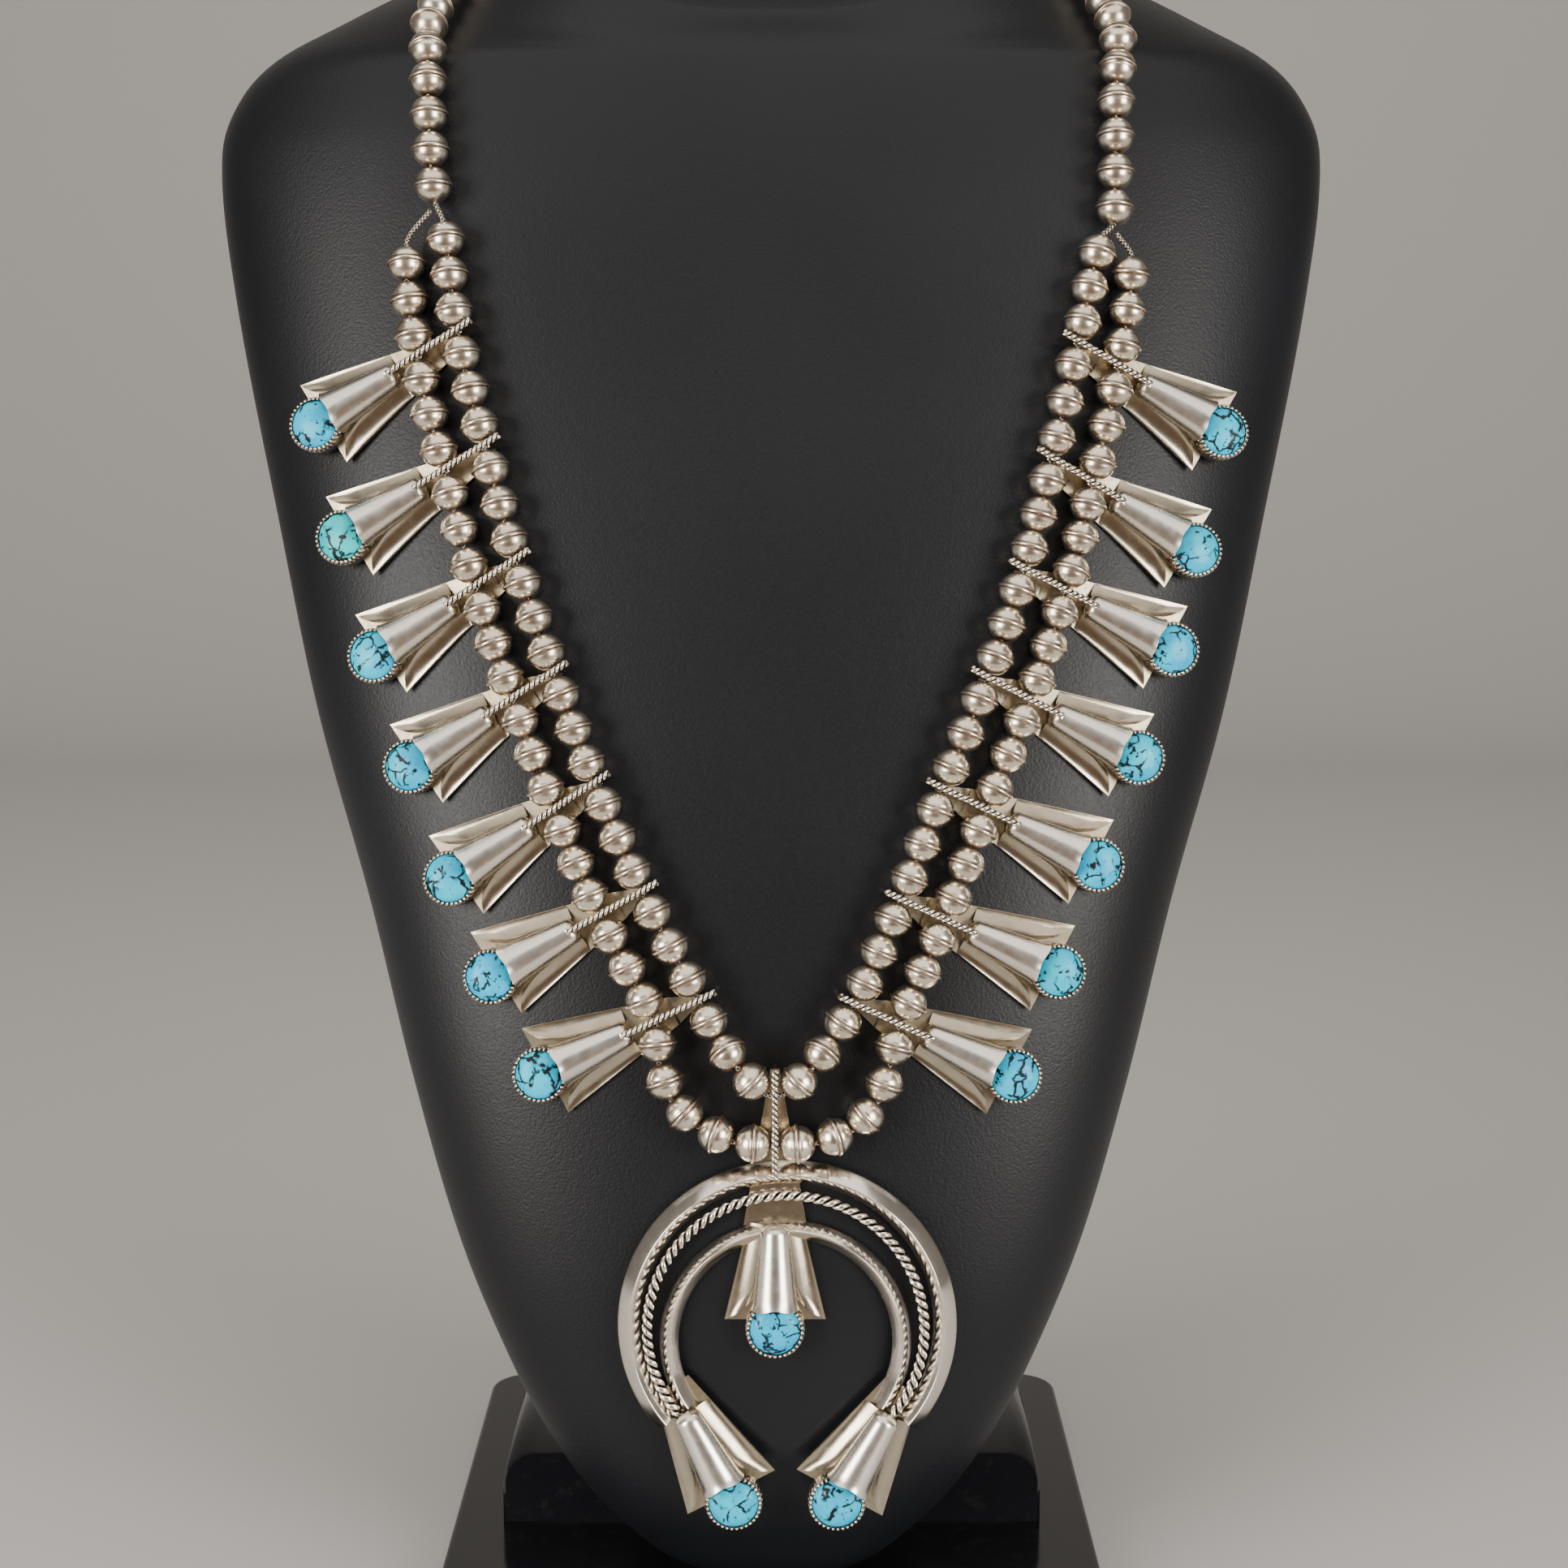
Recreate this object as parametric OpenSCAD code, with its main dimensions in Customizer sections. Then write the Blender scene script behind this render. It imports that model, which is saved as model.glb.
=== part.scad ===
// Squash blossom necklace on a neck bust, in millimetres.
// The front of the bust faces -Y, +Z is up, and +X is the viewer's right.

/* [Bust] */
// Exponent that squares off the bust's plan sections
bust_square = 2.6; // [2:0.1:3]
// Sides of one ring of the bust
bust_sides = 36; // [24:4:48]
// Height where the bust's flat underside sits on its foot
seat_z = 24; // [20:1:28]

/* [Foot] */
// Width of the base plate
plate_w = 154; // [130:1:180]
// Depth of the base plate
plate_d = 168; // [150:1:190]
// Thickness of the base plate
plate_t = 6; // [4:0.5:6]
// Corner radius of the base plate
plate_r = 10; // [2:1:20]
// Width of the foot block
foot_w = 130; // [100:1:140]
// Depth of the foot block
foot_d = 76; // [60:1:80]
// Radius of the foot block's upper edges
foot_r = 8; // [2:0.5:12]

/* [Beads] */
// Radius of the arc that a bead's half section follows
bead_arc = 3.66; // [3.4:0.02:3.7]
// Distance of that arc's centre from the bead's axis
bead_swell = 0.34; // [0.1:0.02:0.4]
// Radius of the raised seam round a bead
seam_r = 4.25; // [4.05:0.05:4.3]
// Width of the seam
seam_w = 0.6; // [0.4:0.1:0.8]
// Radius of the hole through a bead
bore_r = 1.2; // [1:0.05:1.3]
// Distance from bead to bead along the cord
bead_pitch = 7.95; // [7.9:0.01:8]
// Radius of the cord
cord_r = 0.6; // [0.4:0.05:0.7]

/* [Blossoms] */
// Thickness of the sheet silver
sheet = 0.5; // [0.4:0.05:0.6]
// Length of the shank, from its free end to the top of the cone
shank_len = 20.3; // [19:0.1:22]
// Thickness of the shank strip
shank_t = 0.7; // [0.5:0.05:0.8]
// Distance from the cone's top back to the outer strand
hole_outer = 5.8; // [5.5:0.1:6]
// Distance from the cone's top back to the inner strand
hole_inner = 16.2; // [16:0.1:16.6]
// Radius of the two holes in a shank
hole_r = 1; // [0.9:0.05:1.1]
// Length of the cone
cone_len = 17; // [15:0.1:17.2]
// Outer radius of the cone at its top
cone_top_r = 2.7; // [2.4:0.05:2.9]
// Outer radius of the cone at its mouth
cone_end_r = 4.7; // [4.3:0.05:4.8]
// Distance from the cone's top to the tips of an upper and of a lower petal
upper_tip_x = 21.6; // [20:0.1:22]
lower_tip_x = 20.2; // [19:0.1:22]
// Distance of those tips from the blossom's axis
upper_tip_y = 10.6; // [9:0.1:11]
lower_tip_y = 10.1; // [9:0.1:11]
// Distance from the cone's top to the centre of the stone
stone_x = 21.8; // [21.4:0.1:22.2]
// Outer radius of the bezel
bezel_r = 6; // [5.8:0.05:6.2]
// Radius of a stone
stone_r = 5.35; // [5.2:0.05:5.35]
// Height of a stone's dome above its side
dome_h = 2; // [1.6:0.1:2.4]
// Radius of the twisted wire on a shank
wire_r = 0.82; // [0.7:0.02:0.85]
// Length of one lobe of the twisted wire
lobe = 1.3; // [1.2:0.05:2]

/* [Crescent] */
// Outer radius of the outer band
outer_band_r = 36.5; // [36:0.1:37]
// Outer radius of the inner band
inner_band_r = 27.1; // [26.8:0.1:27.3]
// Radius that the twisted wire between the bands follows
mid_wire_path = 29.8; // [29.6:0.05:30]
// Radius of that wire
mid_wire_r = 1; // [0.9:0.05:1.05]
// Length of one lobe of that wire
mid_lobe = 2.2; // [2:0.1:2.6]
// Length of the crescent's shank above the outer band
crescent_shank = 21.6; // [20:0.1:24]
// Size of the end blossoms against those on the strands
end_scale = 1.04; // [1:0.01:1.06]
// Size of the centre blossom against those on the strands
centre_scale = 1.06; // [1:0.01:1.08]

/* [Hidden] */
$fn = 48;
// Front edges of the base plate and of the foot block, and the bust's gap above it
plate_front = -60;
foot_front = 14;
foot_gap = 0.1;
// Moves the whole model so that its origin is under the middle of its box
middle_y = -(plate_front + plate_d / 2);

// Sections of the bust: one row for each height
LEVEL = 0;
HALF_W = 1;
FRONT_Y = 2;
FRONT_D = 3;
BACK_D = 4;
RISE = 5;
// height of the widest line, half width, front y, depth before the widest line,
// depth behind it, and how much the back of the section stands above its front
SECTION = [
    [9.5, 4, -20, 6, 69, 0],
    [12, 17, -26, 10, 69, 0],
    [16, 25, -31, 14, 69, 0],
    [24, 34, -36, 19, 69, 0],
    [32, 41, -40, 22, 70, 0],
    [46, 50.5, -43, 25, 70, 0],
    [63, 59, -44.5, 27, 68, 0],
    [90, 70, -45, 31, 66, 0],
    [125, 80.5, -42, 35, 64, 0],
    [165, 91, -36, 39, 60, 0],
    [205, 103, -28.5, 42, 56, 0],
    [247, 112.5, -20, 44, 50, 0],
    [300, 124, -7, 46, 44, 0],
    [331, 127.5, 1, 46, 38, 0],
    [345, 122.7, 4.5, 46, 38, 4],
    [355, 113, 7, 46, 39, 10],
    [364, 96, 8.5, 46, 40, 22],
    [372, 76, 9.5, 45, 42, 34],
    [383, 58, 10.3, 43, 43, 50],
    [398, 50, 11, 42, 42, 76],
];
// Rows further apart than this get a ring between them
ring_gap = 30;

// Blossoms on the strands, from the top down: x and z of the cone's top on the
// bust, and how far the axis droops below the horizontal, in degrees
LEFT_BLOSSOMS = [
    [-79.9, 280.9, 29.3],
    [-73.7, 256.8, 29.3],
    [-66.8, 232.4, 31.6],
    [-58.8, 209.1, 31.8],
    [-50, 186, 32.8],
    [-40.6, 164.5, 29.6],
    [-29.3, 143, 25.9],
];
RIGHT_BLOSSOMS = [
    [79, 278.8, 27.7],
    [73, 254.1, 29.2],
    [67.3, 232, 26],
    [59.6, 209.3, 26.6],
    [50.4, 186.6, 25.8],
    [41.8, 164, 25],
    [32.3, 142.4, 25.3],
];

// Places on the front of the bust that the strands pass, as x and z: where the
// strands part on each side, where each of them turns down, and the low ends, which
// meet at an angle in the crescent's shank
LEFT_FORK = [-71.7, 316.6];
RIGHT_FORK = [73.5, 311.8];
LEFT_TURN = [-77.8, 308.8];
RIGHT_TURN = [77.4, 305.1];
LEFT_TOP = [-69.9, 313.6];
RIGHT_TOP = [70.4, 308.6];
INNER_LOW_LEFT = [[-11.6, 142.9]];
INNER_LOW_RIGHT = [[13.4, 142.3]];
OUTER_LOW_LEFT = [[-23.2, 136.4], [-20.9, 129.2], [-15.3, 123.6]];
OUTER_LOW_RIGHT = [[16.6, 122.1], [22.4, 128], [25.1, 135.9]];
// Places beside the crescent's shank, as x and y in the crescent's own frame
INNER_END_LEFT = [[-11.3, 58.6], [-7.4, 54.4], [-4.5, 51.7]];
INNER_END_RIGHT = [[-0.7, 51.7], [2.1, 54.3], [6, 58.3]];
OUTER_END_LEFT = [[-11.8, 41.7], [-4, 40.8]];
OUTER_END_RIGHT = [[-1.2, 40.8], [5.3, 41.2]];
// Places on the neck that the strand passes: level and angle from the front
LEFT_NECK = [
    [324, -28.7], [340, -29.9], [353, -33.9], [363.5, -45], [369, -57], [374, -76], [377, -94],
    [379.5, -113], [381, -131], [382, -147], [382.6, -160], [382.9, -171],
];
RIGHT_NECK = [
    [324, 29.5], [340, 30.4], [352, 34.3], [362, 43.5], [368, 54.5], [374, 76], [377, 94],
    [379.5, 113], [381, 131], [382, 147], [382.6, 160], [382.9, 171],
];
NAPE = [383, -180];

// Crescent: middle of its outer band, and how far it leans back, in degrees
crescent_at = [3.7, -45.4, 79.5];
crescent_lean = 2;
// Distance of the crescent's shank and centre blossom from its middle
crescent_shift = -2.6;
// Middles of the inner band and of the twisted wire from that of the outer band
inner_mid = [-0.4, -3.8];
mid_wire_mid = [-0.3, -0.8];
// Half width that the crescent's long back plate gains for each millimetre
plate_flare = 0.174;
plate_apex = 62;
plate_top = 56.4;
// Plates of the centre and of the end blossoms behind their cones' tops
centre_back = 0.5;
end_back = 6;
// Distance of the two strands' holes from the crescent's middle
crescent_inner = 51.2;
crescent_outer = 41.6;
// Where the end blossoms' cones start, and the angle of their axes from the right
END_TOPS = [[-22.1, -18.7], [21.9, -19.1]];
END_ANGLES = [-62.3, -119.5];
// Angle below the horizontal at which the bands and the wire end
outer_end = 39.5;
inner_end = 34;
wire_end = 39;
// Widths and heights of the bands' triangular sections, and the ridge's place
outer_band_w = 5.1;
inner_band_w = 4.1;
outer_ridge = 2.7;
inner_ridge = 1.8;
outer_band_h = 3.2;
inner_band_h = 2.8;
band_z = 0.45;
mid_wire_z = 1.7;

// Heights above the bust, in a blossom's own frame
plate_z = 0.25;
bead_z = 5.1;
neck_z = 5.5;
cone_top_z = 3.1;
cone_end_z = 3.9;
wire_z = 6.7;
wire_over = 1.8;
// Half width of the back plate at the cone's top, where it turns to a taper, and the end
// of that taper under the shank
plate_half = 5.4;
plate_cut = 10;
plate_end = 17;
plate_end_half = 0.5;
// The strip's top edge lies this far below the wire's axis
strip_drop = 0.3;
// Trough of a side petal: radius and place of its low line at both ends
trough_top_r = 1.6;
trough_end_r = 5.66;
trough_top_y = 4.3;
trough_end_y = 9.7;
trough_start = 1.2;
trough_over = 3;
trough_sink = 0.25;
// Where a side petal's rim meets the cone, the bulge of the rim, and its steps
rim_at = [13.3, 4];
rim_bulge = 1;
rim_steps = 8;
petal_h = 3.2;
edge_inset = 0.12;
// The bezel cup and the stone in it
bezel_top = 4.6;
cup_floor = 1.3;
stone_gap = 0.15;
bezel_t = 0.5;
girdle_z = 4.2;
mouth_r = 5.6;
solder_t = 0.8;
// Share of the wire's radius between its lobes
waist = 0.72;
// Bare cord each side of a shank, and of the crescent's where the inner strand bends
shank_gap = 0.93;
bend_gap = 2.25;
// Samples between two places of a route
route_steps = 12;
cord_sides = 6;
// Length from the fork at which the outer cord starts, clear of the main one
outer_start = 2.2;
clasp_len = 15;
clasp_r = 3.2;
clasp_bore = 0.9;
clasp_gap = 0.6;
// Distance of the main cord's ends from the middle of the clasp
cord_end = 0.4;

LEFT_NAMES = [for (i = [1:len(LEFT_BLOSSOMS)]) str("blossom_left_", i)];
RIGHT_NAMES = [for (i = [1:len(RIGHT_BLOSSOMS)]) str("blossom_right_", i)];
LEFT_STONES = [for (i = [1:len(LEFT_BLOSSOMS)]) str("stone_left_", i)];
RIGHT_STONES = [for (i = [1:len(RIGHT_BLOSSOMS)]) str("stone_right_", i)];

// Vectors and frames
function unit(v) = v / norm(v);
// A frame is its origin and its three axes; this is the matrix that places a child
function placing(f) = [
    [f[1][0], f[2][0], f[3][0], f[0][0]],
    [f[1][1], f[2][1], f[3][1], f[0][1]],
    [f[1][2], f[2][2], f[3][2], f[0][2]],
    [0, 0, 0, 1],
];
function in_frame(f, p) = f[0] + f[1] * p[0] + f[2] * p[1] + f[3] * p[2];

// The bust's surface, smooth between the rows of SECTION
function row_below(h, k = 0) =
    k >= len(SECTION) - 2 || h < SECTION[k + 1][LEVEL] ? k : row_below(h, k + 1);
function rate(c, k) =
    let (a = max(k - 1, 0), b = min(k + 1, len(SECTION) - 1))
    (SECTION[b][c] - SECTION[a][c]) / (SECTION[b][LEVEL] - SECTION[a][LEVEL]);
function hermite(p, q, dp, dq, t) =
    (2 * t ^ 3 - 3 * t ^ 2 + 1) * p + (t ^ 3 - 2 * t ^ 2 + t) * dp
    + (3 * t ^ 2 - 2 * t ^ 3) * q + (t ^ 3 - t ^ 2) * dq;
function column(c, h) =
    let (k = row_below(h), p = SECTION[k], q = SECTION[k + 1], w = q[LEVEL] - p[LEVEL])
    hermite(p[c], q[c], w * rate(c, k), w * rate(c, k + 1), (h - p[LEVEL]) / w);
function squared(v) = sign(v) * abs(v) ^ (2 / bust_square);
// Below the seat only the tip goes on, as deep behind its widest line as before it
function back_depth(h) = h < seat_z ? column(FRONT_D, h) : column(BACK_D, h);
function bust_point(h, a) =
    let (front = column(FRONT_D, h), back = back_depth(h), c = squared(cos(a)))
    let (y = c > 0 ? -front * c : -back * c, rise = column(RISE, h) * y / (front + back))
    [column(HALF_W, h) * squared(sin(a)), column(FRONT_Y, h) + front + y, h + rise];
function bust_normal(h, a) =
    let (across = bust_point(h, a + 0.5) - bust_point(h, a - 0.5))
    unit(cross(across, bust_point(h + 0.5, a) - bust_point(h - 0.5, a)));
function front_y(x, z) =
    let (t = abs(x) / column(HALF_W, z))
    column(FRONT_Y, z) + column(FRONT_D, z) * (1 - (1 - t ^ bust_square) ^ (1 / bust_square));
function front_normal(x, z) =
    unit([front_y(x + 0.5, z) - front_y(x - 0.5, z), -1, front_y(x, z + 0.5) - front_y(x, z - 0.5)]);
function on_front(p, lift = bead_z) = [p[0], front_y(p[0], p[1]), p[1]] + lift * front_normal(p[0], p[1]);
function on_neck(p) = bust_point(p[0], p[1]) + neck_z * bust_normal(p[0], p[1]);

// A blossom lies on the tangent plane of the bust at its cone's top
function blossom_frame(row) =
    let (n = front_normal(row[0], row[1]))
    let (d = [sign(row[0]) * cos(row[2]), 0, -sin(row[2])])
    let (axis = unit(d - (d * n) * n))
    [[row[0], front_y(row[0], row[1]), row[1]], axis, cross(n, axis), n];
function crescent_frame() =
    let (c = cos(crescent_lean), s = sin(crescent_lean))
    [crescent_at, [1, 0, 0], [0, s, c], [0, -c, s]];

function by_crescent(p) = in_frame(crescent_frame(), [p[0], p[1], bead_z]);

// A route is a smooth line through its places; it is read by its length
function place(c, k) = c[max(0, min(k, len(c) - 1))];
function sample(c, k, t) =
    hermite(c[k], place(c, k + 1), (place(c, k + 1) - place(c, k - 1)) / 2, (place(c, k + 2) - c[k]) / 2, t);
function samples(c) = [
    for (k = [0:len(c) - 2]) for (j = [0:route_steps - 1]) sample(c, k, j / route_steps), c[len(c) - 1]
];
function lengths(p) = [
    for (i = 0, s = 0; i < len(p); i = i + 1, s = i < len(p) ? s + norm(p[i] - p[i - 1]) : s) s
];
function route(c) =
    let (p = samples(c), s = lengths(p))
    [[for (i = [0:len(p) - 1]) [s[i], p[i][0]]], [for (i = [0:len(p) - 1]) [s[i], p[i][1]]],
     [for (i = [0:len(p) - 1]) [s[i], p[i][2]]], s];
function along(r, s) = [lookup(s, r[0]), lookup(s, r[1]), lookup(s, r[2])];
function reach(r, k) = r[3][k * route_steps];
// The ends of n beads between two lengths of a route
function joints(r, from, to, n) = [for (j = [0:n]) along(r, from + (to - from) * j / n)];

// Places of the strands: the holes of the shanks are those of the blossoms' frames
function hole_place(row, hole) = in_frame(blossom_frame(row), [-hole, 0, bead_z]);
crescent_inner_hole = in_frame(crescent_frame(), [crescent_shift, crescent_inner, bead_z]);
crescent_outer_hole = in_frame(crescent_frame(), [crescent_shift, crescent_outer, bead_z]);
n_blossoms = len(LEFT_BLOSSOMS);
down = [0:n_blossoms - 1];
up = [n_blossoms - 1:-1:0];
MAIN_PLACES = concat(
    [on_neck(NAPE)],
    [for (i = [len(LEFT_NECK) - 1:-1:0]) on_neck(LEFT_NECK[i])],
    [on_front(LEFT_FORK), on_front(LEFT_TOP)], [for (i = down) hole_place(LEFT_BLOSSOMS[i], hole_inner)],
    [for (p = INNER_LOW_LEFT) on_front(p)], [for (p = INNER_END_LEFT) by_crescent(p)], [crescent_inner_hole],
    [for (p = INNER_END_RIGHT) by_crescent(p)], [for (p = INNER_LOW_RIGHT) on_front(p)],
    [for (i = up) hole_place(RIGHT_BLOSSOMS[i], hole_inner)], [on_front(RIGHT_TOP), on_front(RIGHT_FORK)],
    [for (p = RIGHT_NECK) on_neck(p)],
    [on_neck([NAPE[0], -NAPE[1]])]
);
OUTER_PLACES = concat(
    [on_front(LEFT_FORK), on_front(LEFT_TURN)], [for (i = down) hole_place(LEFT_BLOSSOMS[i], hole_outer)],
    [for (p = OUTER_LOW_LEFT) on_front(p)], [for (p = OUTER_END_LEFT) by_crescent(p)], [crescent_outer_hole],
    [for (p = OUTER_END_RIGHT) by_crescent(p)], [for (p = OUTER_LOW_RIGHT) on_front(p)],
    [for (i = up) hole_place(RIGHT_BLOSSOMS[i], hole_outer)], [on_front(RIGHT_TURN), on_front(RIGHT_FORK)]
);

// Bust
BUST_LEVELS = concat(
    [for (k = [0:len(SECTION) - 2])
        let (a = SECTION[k][LEVEL], b = SECTION[k + 1][LEVEL], n = b - a > ring_gap ? 2 : 1)
        for (j = [0:n - 1]) each (j == 0 && a == seat_z ? [a - 0.01, a] : [a + (b - a) * j / n])],
    [SECTION[len(SECTION) - 1][LEVEL]]
);

// A closed skin over rings of points, each counter-clockwise seen from the far end
module skin(rings) {
    n = len(rings);
    m = len(rings[0]);
    sides = [for (i = [0:n - 2]) for (k = [0:m - 1]) let (l = (k + 1) % m)
        each [[i * m + k, (i + 1) * m + k, (i + 1) * m + l], [i * m + k, (i + 1) * m + l, i * m + l]]];
    polyhedron(
        points = [for (r = rings) each r],
        faces = concat([[for (k = [0:m - 1]) k]], sides, [[for (k = [m - 1:-1:0]) (n - 1) * m + k]]),
        convexity = 10
    );
}

module bust() {
    color("#26262a")
        skin([for (h = BUST_LEVELS) [for (k = [0:bust_sides - 1]) bust_point(h, 360 * k / bust_sides)]]);
}

// Rectangle with round corners, its middle on the y axis and its front at y = 0
module round_rectangle(w, d, r) {
    for (x = [r - w / 2, w / 2 - r]) for (y = [r, d - r]) translate([x, y]) circle(r);
    translate([-w / 2, r]) square([w, d - 2 * r]);
    translate([r - w / 2, 0]) square([w - 2 * r, d]);
}

module bust_base() {
    foot_top = seat_z - foot_gap;
    low = plate_t / 2;
    color("#101012") {
        translate([0, plate_front, 0]) linear_extrude(plate_t) round_rectangle(plate_w, plate_d, plate_r);
        translate([0, foot_front + foot_d, 0]) rotate([90, 0, 0]) linear_extrude(foot_d) {
            for (side = [-1, 1]) translate([side * (foot_w / 2 - foot_r), foot_top - foot_r]) circle(foot_r);
            translate([-foot_w / 2, low]) square([foot_w, foot_top - foot_r - low]);
            translate([foot_r - foot_w / 2, low]) square([foot_w - 2 * foot_r, foot_top - low]);
        }
    }
}

// Beads and cords
module bead() {
    rotate_extrude() difference() {
        union() {
            translate([bead_swell, 0]) circle(bead_arc);
            translate([0, -seam_w / 2]) square([seam_r, seam_w]);
        }
        translate([bore_r - 10, -5]) square([10, 10]);
    }
}
// Places a child halfway between two points, its z axis along them
module between(p, q) {
    axis = unit(q - p);
    side = unit(cross(abs(axis[1]) > 0.8 ? [0, 0, 1] : [0, 1, 0], axis));
    multmatrix(placing([(p + q) / 2, side, cross(axis, side), axis])) children();
}
module bead_row(ends) {
    color("#c9c0b2") for (i = [0:len(ends) - 2]) between(ends[i], ends[i + 1]) bead();
}
// Round sections of a cord, its frame carried on from point to point
module cord(p) {
    n = len(p);
    heading = [for (i = [0:n - 1]) unit(p[min(i + 1, n - 1)] - p[max(i - 1, 0)])];
    side = [for (i = 0, e = unit(cross(heading[0], [0, 0, 1])); i < n;
        i = i + 1, e = i < n ? unit(e - (e * heading[i]) * heading[i]) : e) e];
    color("#9a9488") skin([for (i = [0:n - 1]) let (v = cross(heading[i], side[i]))
        [for (k = [0:cord_sides - 1]) let (a = 360 * k / cord_sides)
            p[i] + cord_r * (cos(a) * side[i] + sin(a) * v)]]);
}

main_route = route(MAIN_PLACES);
outer_route = route(OUTER_PLACES);
n_neck = len(LEFT_NECK) + 1;
main_total = reach(main_route, len(MAIN_PLACES) - 1);
// The main cord starts and ends on the axis of the clasp
clasp_left = along(main_route, clasp_len / 2);
clasp_right = along(main_route, main_total - clasp_len / 2);
clasp_mid = (clasp_left + clasp_right) / 2;
clasp_half = unit(clasp_left - clasp_mid);
neck_len = reach(main_route, n_neck) - clasp_len / 2 - clasp_gap;
n_neck_beads = floor(neck_len / bead_pitch);
// Lengths along the main route at the inner holes, the crescent's among them
inner_low_left = len(INNER_LOW_LEFT) + len(INNER_END_LEFT);
inner_low_right = len(INNER_LOW_RIGHT) + len(INNER_END_RIGHT);
outer_low_left = len(OUTER_LOW_LEFT) + len(OUTER_END_LEFT);
outer_low_right = len(OUTER_LOW_RIGHT) + len(OUTER_END_RIGHT);
function low_places(i, left, right) = i < n_blossoms ? 0 : left + (i == n_blossoms ? 0 : right);
function inner_reach(i) = reach(main_route, n_neck + 2 + i + low_places(i, inner_low_left, inner_low_right));
// Lengths along the outer route at the outer holes
function outer_reach(i) = reach(outer_route, 2 + i + low_places(i, outer_low_left, outer_low_right));
// Beads between two holes; before the first and after the last they lie close up
function run_joints(r, s, i, n, bend) =
    let (before = i == n_blossoms ? bend : shank_gap, after = i == n_blossoms - 1 ? bend : shank_gap)
    i < 0 ? joints(r, s[0] - shank_gap - n * bead_pitch, s[0] - shank_gap, n)
    : i >= len(s) - 1 ? joints(r, s[i] + shank_gap, s[i] + shank_gap + n * bead_pitch, n)
    : joints(r, s[i] + before, s[i + 1] - after, n);
inner_holes = [for (i = [0:2 * n_blossoms]) inner_reach(i)];
outer_holes = [for (i = [0:2 * n_blossoms]) outer_reach(i)];
run_beads = 3;
low_beads = 5;
function inner_runs() = [for (i = [-1:2 * n_blossoms])
    run_joints(main_route, inner_holes, i, run_beads, bend_gap)];
function outer_runs() = [for (i = [-1:2 * n_blossoms])
    let (n = i == n_blossoms - 1 || i == n_blossoms ? low_beads : run_beads)
    run_joints(outer_route, outer_holes, i, n, shank_gap)];
// The cord goes through every hole between two runs
function strung(r, s, runs) = [
    for (i = [0:len(runs) - 1]) each concat(i > 0 ? [along(r, s[i - 1])] : [], runs[i])
];
fork_left = reach(main_route, n_neck);
fork_right = reach(main_route, len(MAIN_PLACES) - 1 - n_neck);
neck_left = joints(main_route, fork_left - n_neck_beads * bead_pitch, fork_left, n_neck_beads);
neck_right = joints(main_route, fork_right, fork_right + n_neck_beads * bead_pitch, n_neck_beads);
left_runs = [0:n_blossoms];
right_runs = [n_blossoms + 1:2 * n_blossoms + 1];

module beads_neck_left() bead_row(neck_left);
module beads_neck_right() bead_row(neck_right);
module beads_inner_left() for (i = left_runs) bead_row(inner_runs()[i]);
module beads_inner_right() for (i = right_runs) bead_row(inner_runs()[i]);
module beads_outer_left() for (i = left_runs) bead_row(outer_runs()[i]);
module beads_outer_right() for (i = right_runs) bead_row(outer_runs()[i]);
module thread_main() {
    cord(concat([clasp_mid + cord_end * clasp_half, clasp_left], neck_left,
        strung(main_route, inner_holes, inner_runs()),
        neck_right, [clasp_right, clasp_mid - cord_end * clasp_half]));
}
// The outer cord starts and ends beside the main one, where the strands part
module thread_outer() {
    total = reach(outer_route, len(OUTER_PLACES) - 1);
    cord(concat([along(outer_route, outer_start), along(outer_route, 2 * outer_start)],
        strung(outer_route, outer_holes, outer_runs()),
        [along(outer_route, total - 2 * outer_start), along(outer_route, total - outer_start)]));
}
module clasp() {
    color("#b8ae9c") between(clasp_left, clasp_right) difference() {
        cylinder(h = clasp_len, r = clasp_r, center = true);
        cylinder(h = clasp_len + 1, r = clasp_bore, center = true);
    }
}

// Twisted wire along x: every ring moves its lobe on by one corner of the hexagon
module twisted_wire(r, len, lobe_len) {
    n = 3 * round(len / lobe_len);
    skin([for (i = [0:n]) [for (k = [0:5]) let (a = 60 * k, s = r * ((k + i) % 3 == 0 ? 1 : waist))
        [len * i / n, s * cos(a), s * sin(a)]]]);
}
// The same wire bent to an arc in the xy plane, from angle a to angle b
module bent_wire(path_r, r, a, b, lobe_len) {
    n = 3 * round(path_r * (b - a) * PI / 180 / lobe_len);
    skin([for (i = [0:n]) let (t = a + (b - a) * i / n, out = [cos(t), sin(t), 0])
        [for (k = [0:5]) let (c = 60 * k, s = r * ((k + i) % 3 == 0 ? 1 : waist))
            (path_r - s * cos(c)) * out + [0, 0, s * sin(c)]]]);
}

// Blossoms, each in its own frame: x along the axis, z away from the bust
// Half cone of sheet, closed by solder at its top and open at its mouth
module front_petal() {
    slope = atan((cone_end_z - cone_top_z) / cone_len);
    difference() {
        translate([0, 0, cone_top_z]) rotate([0, 90 - slope, 0]) rotate_extrude()
            polygon([[0, 0], [cone_top_r, 0], [cone_end_r, cone_len], [cone_end_r - sheet, cone_len],
                [cone_top_r - sheet, solder_t], [0, solder_t]]);
        translate([stone_x, 0, -10]) cylinder(h = 30, r = mouth_r);
        translate([-5, -10, -20]) cube([40, 20, 20 + plate_z + sheet / 2]);
    }
}
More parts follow.
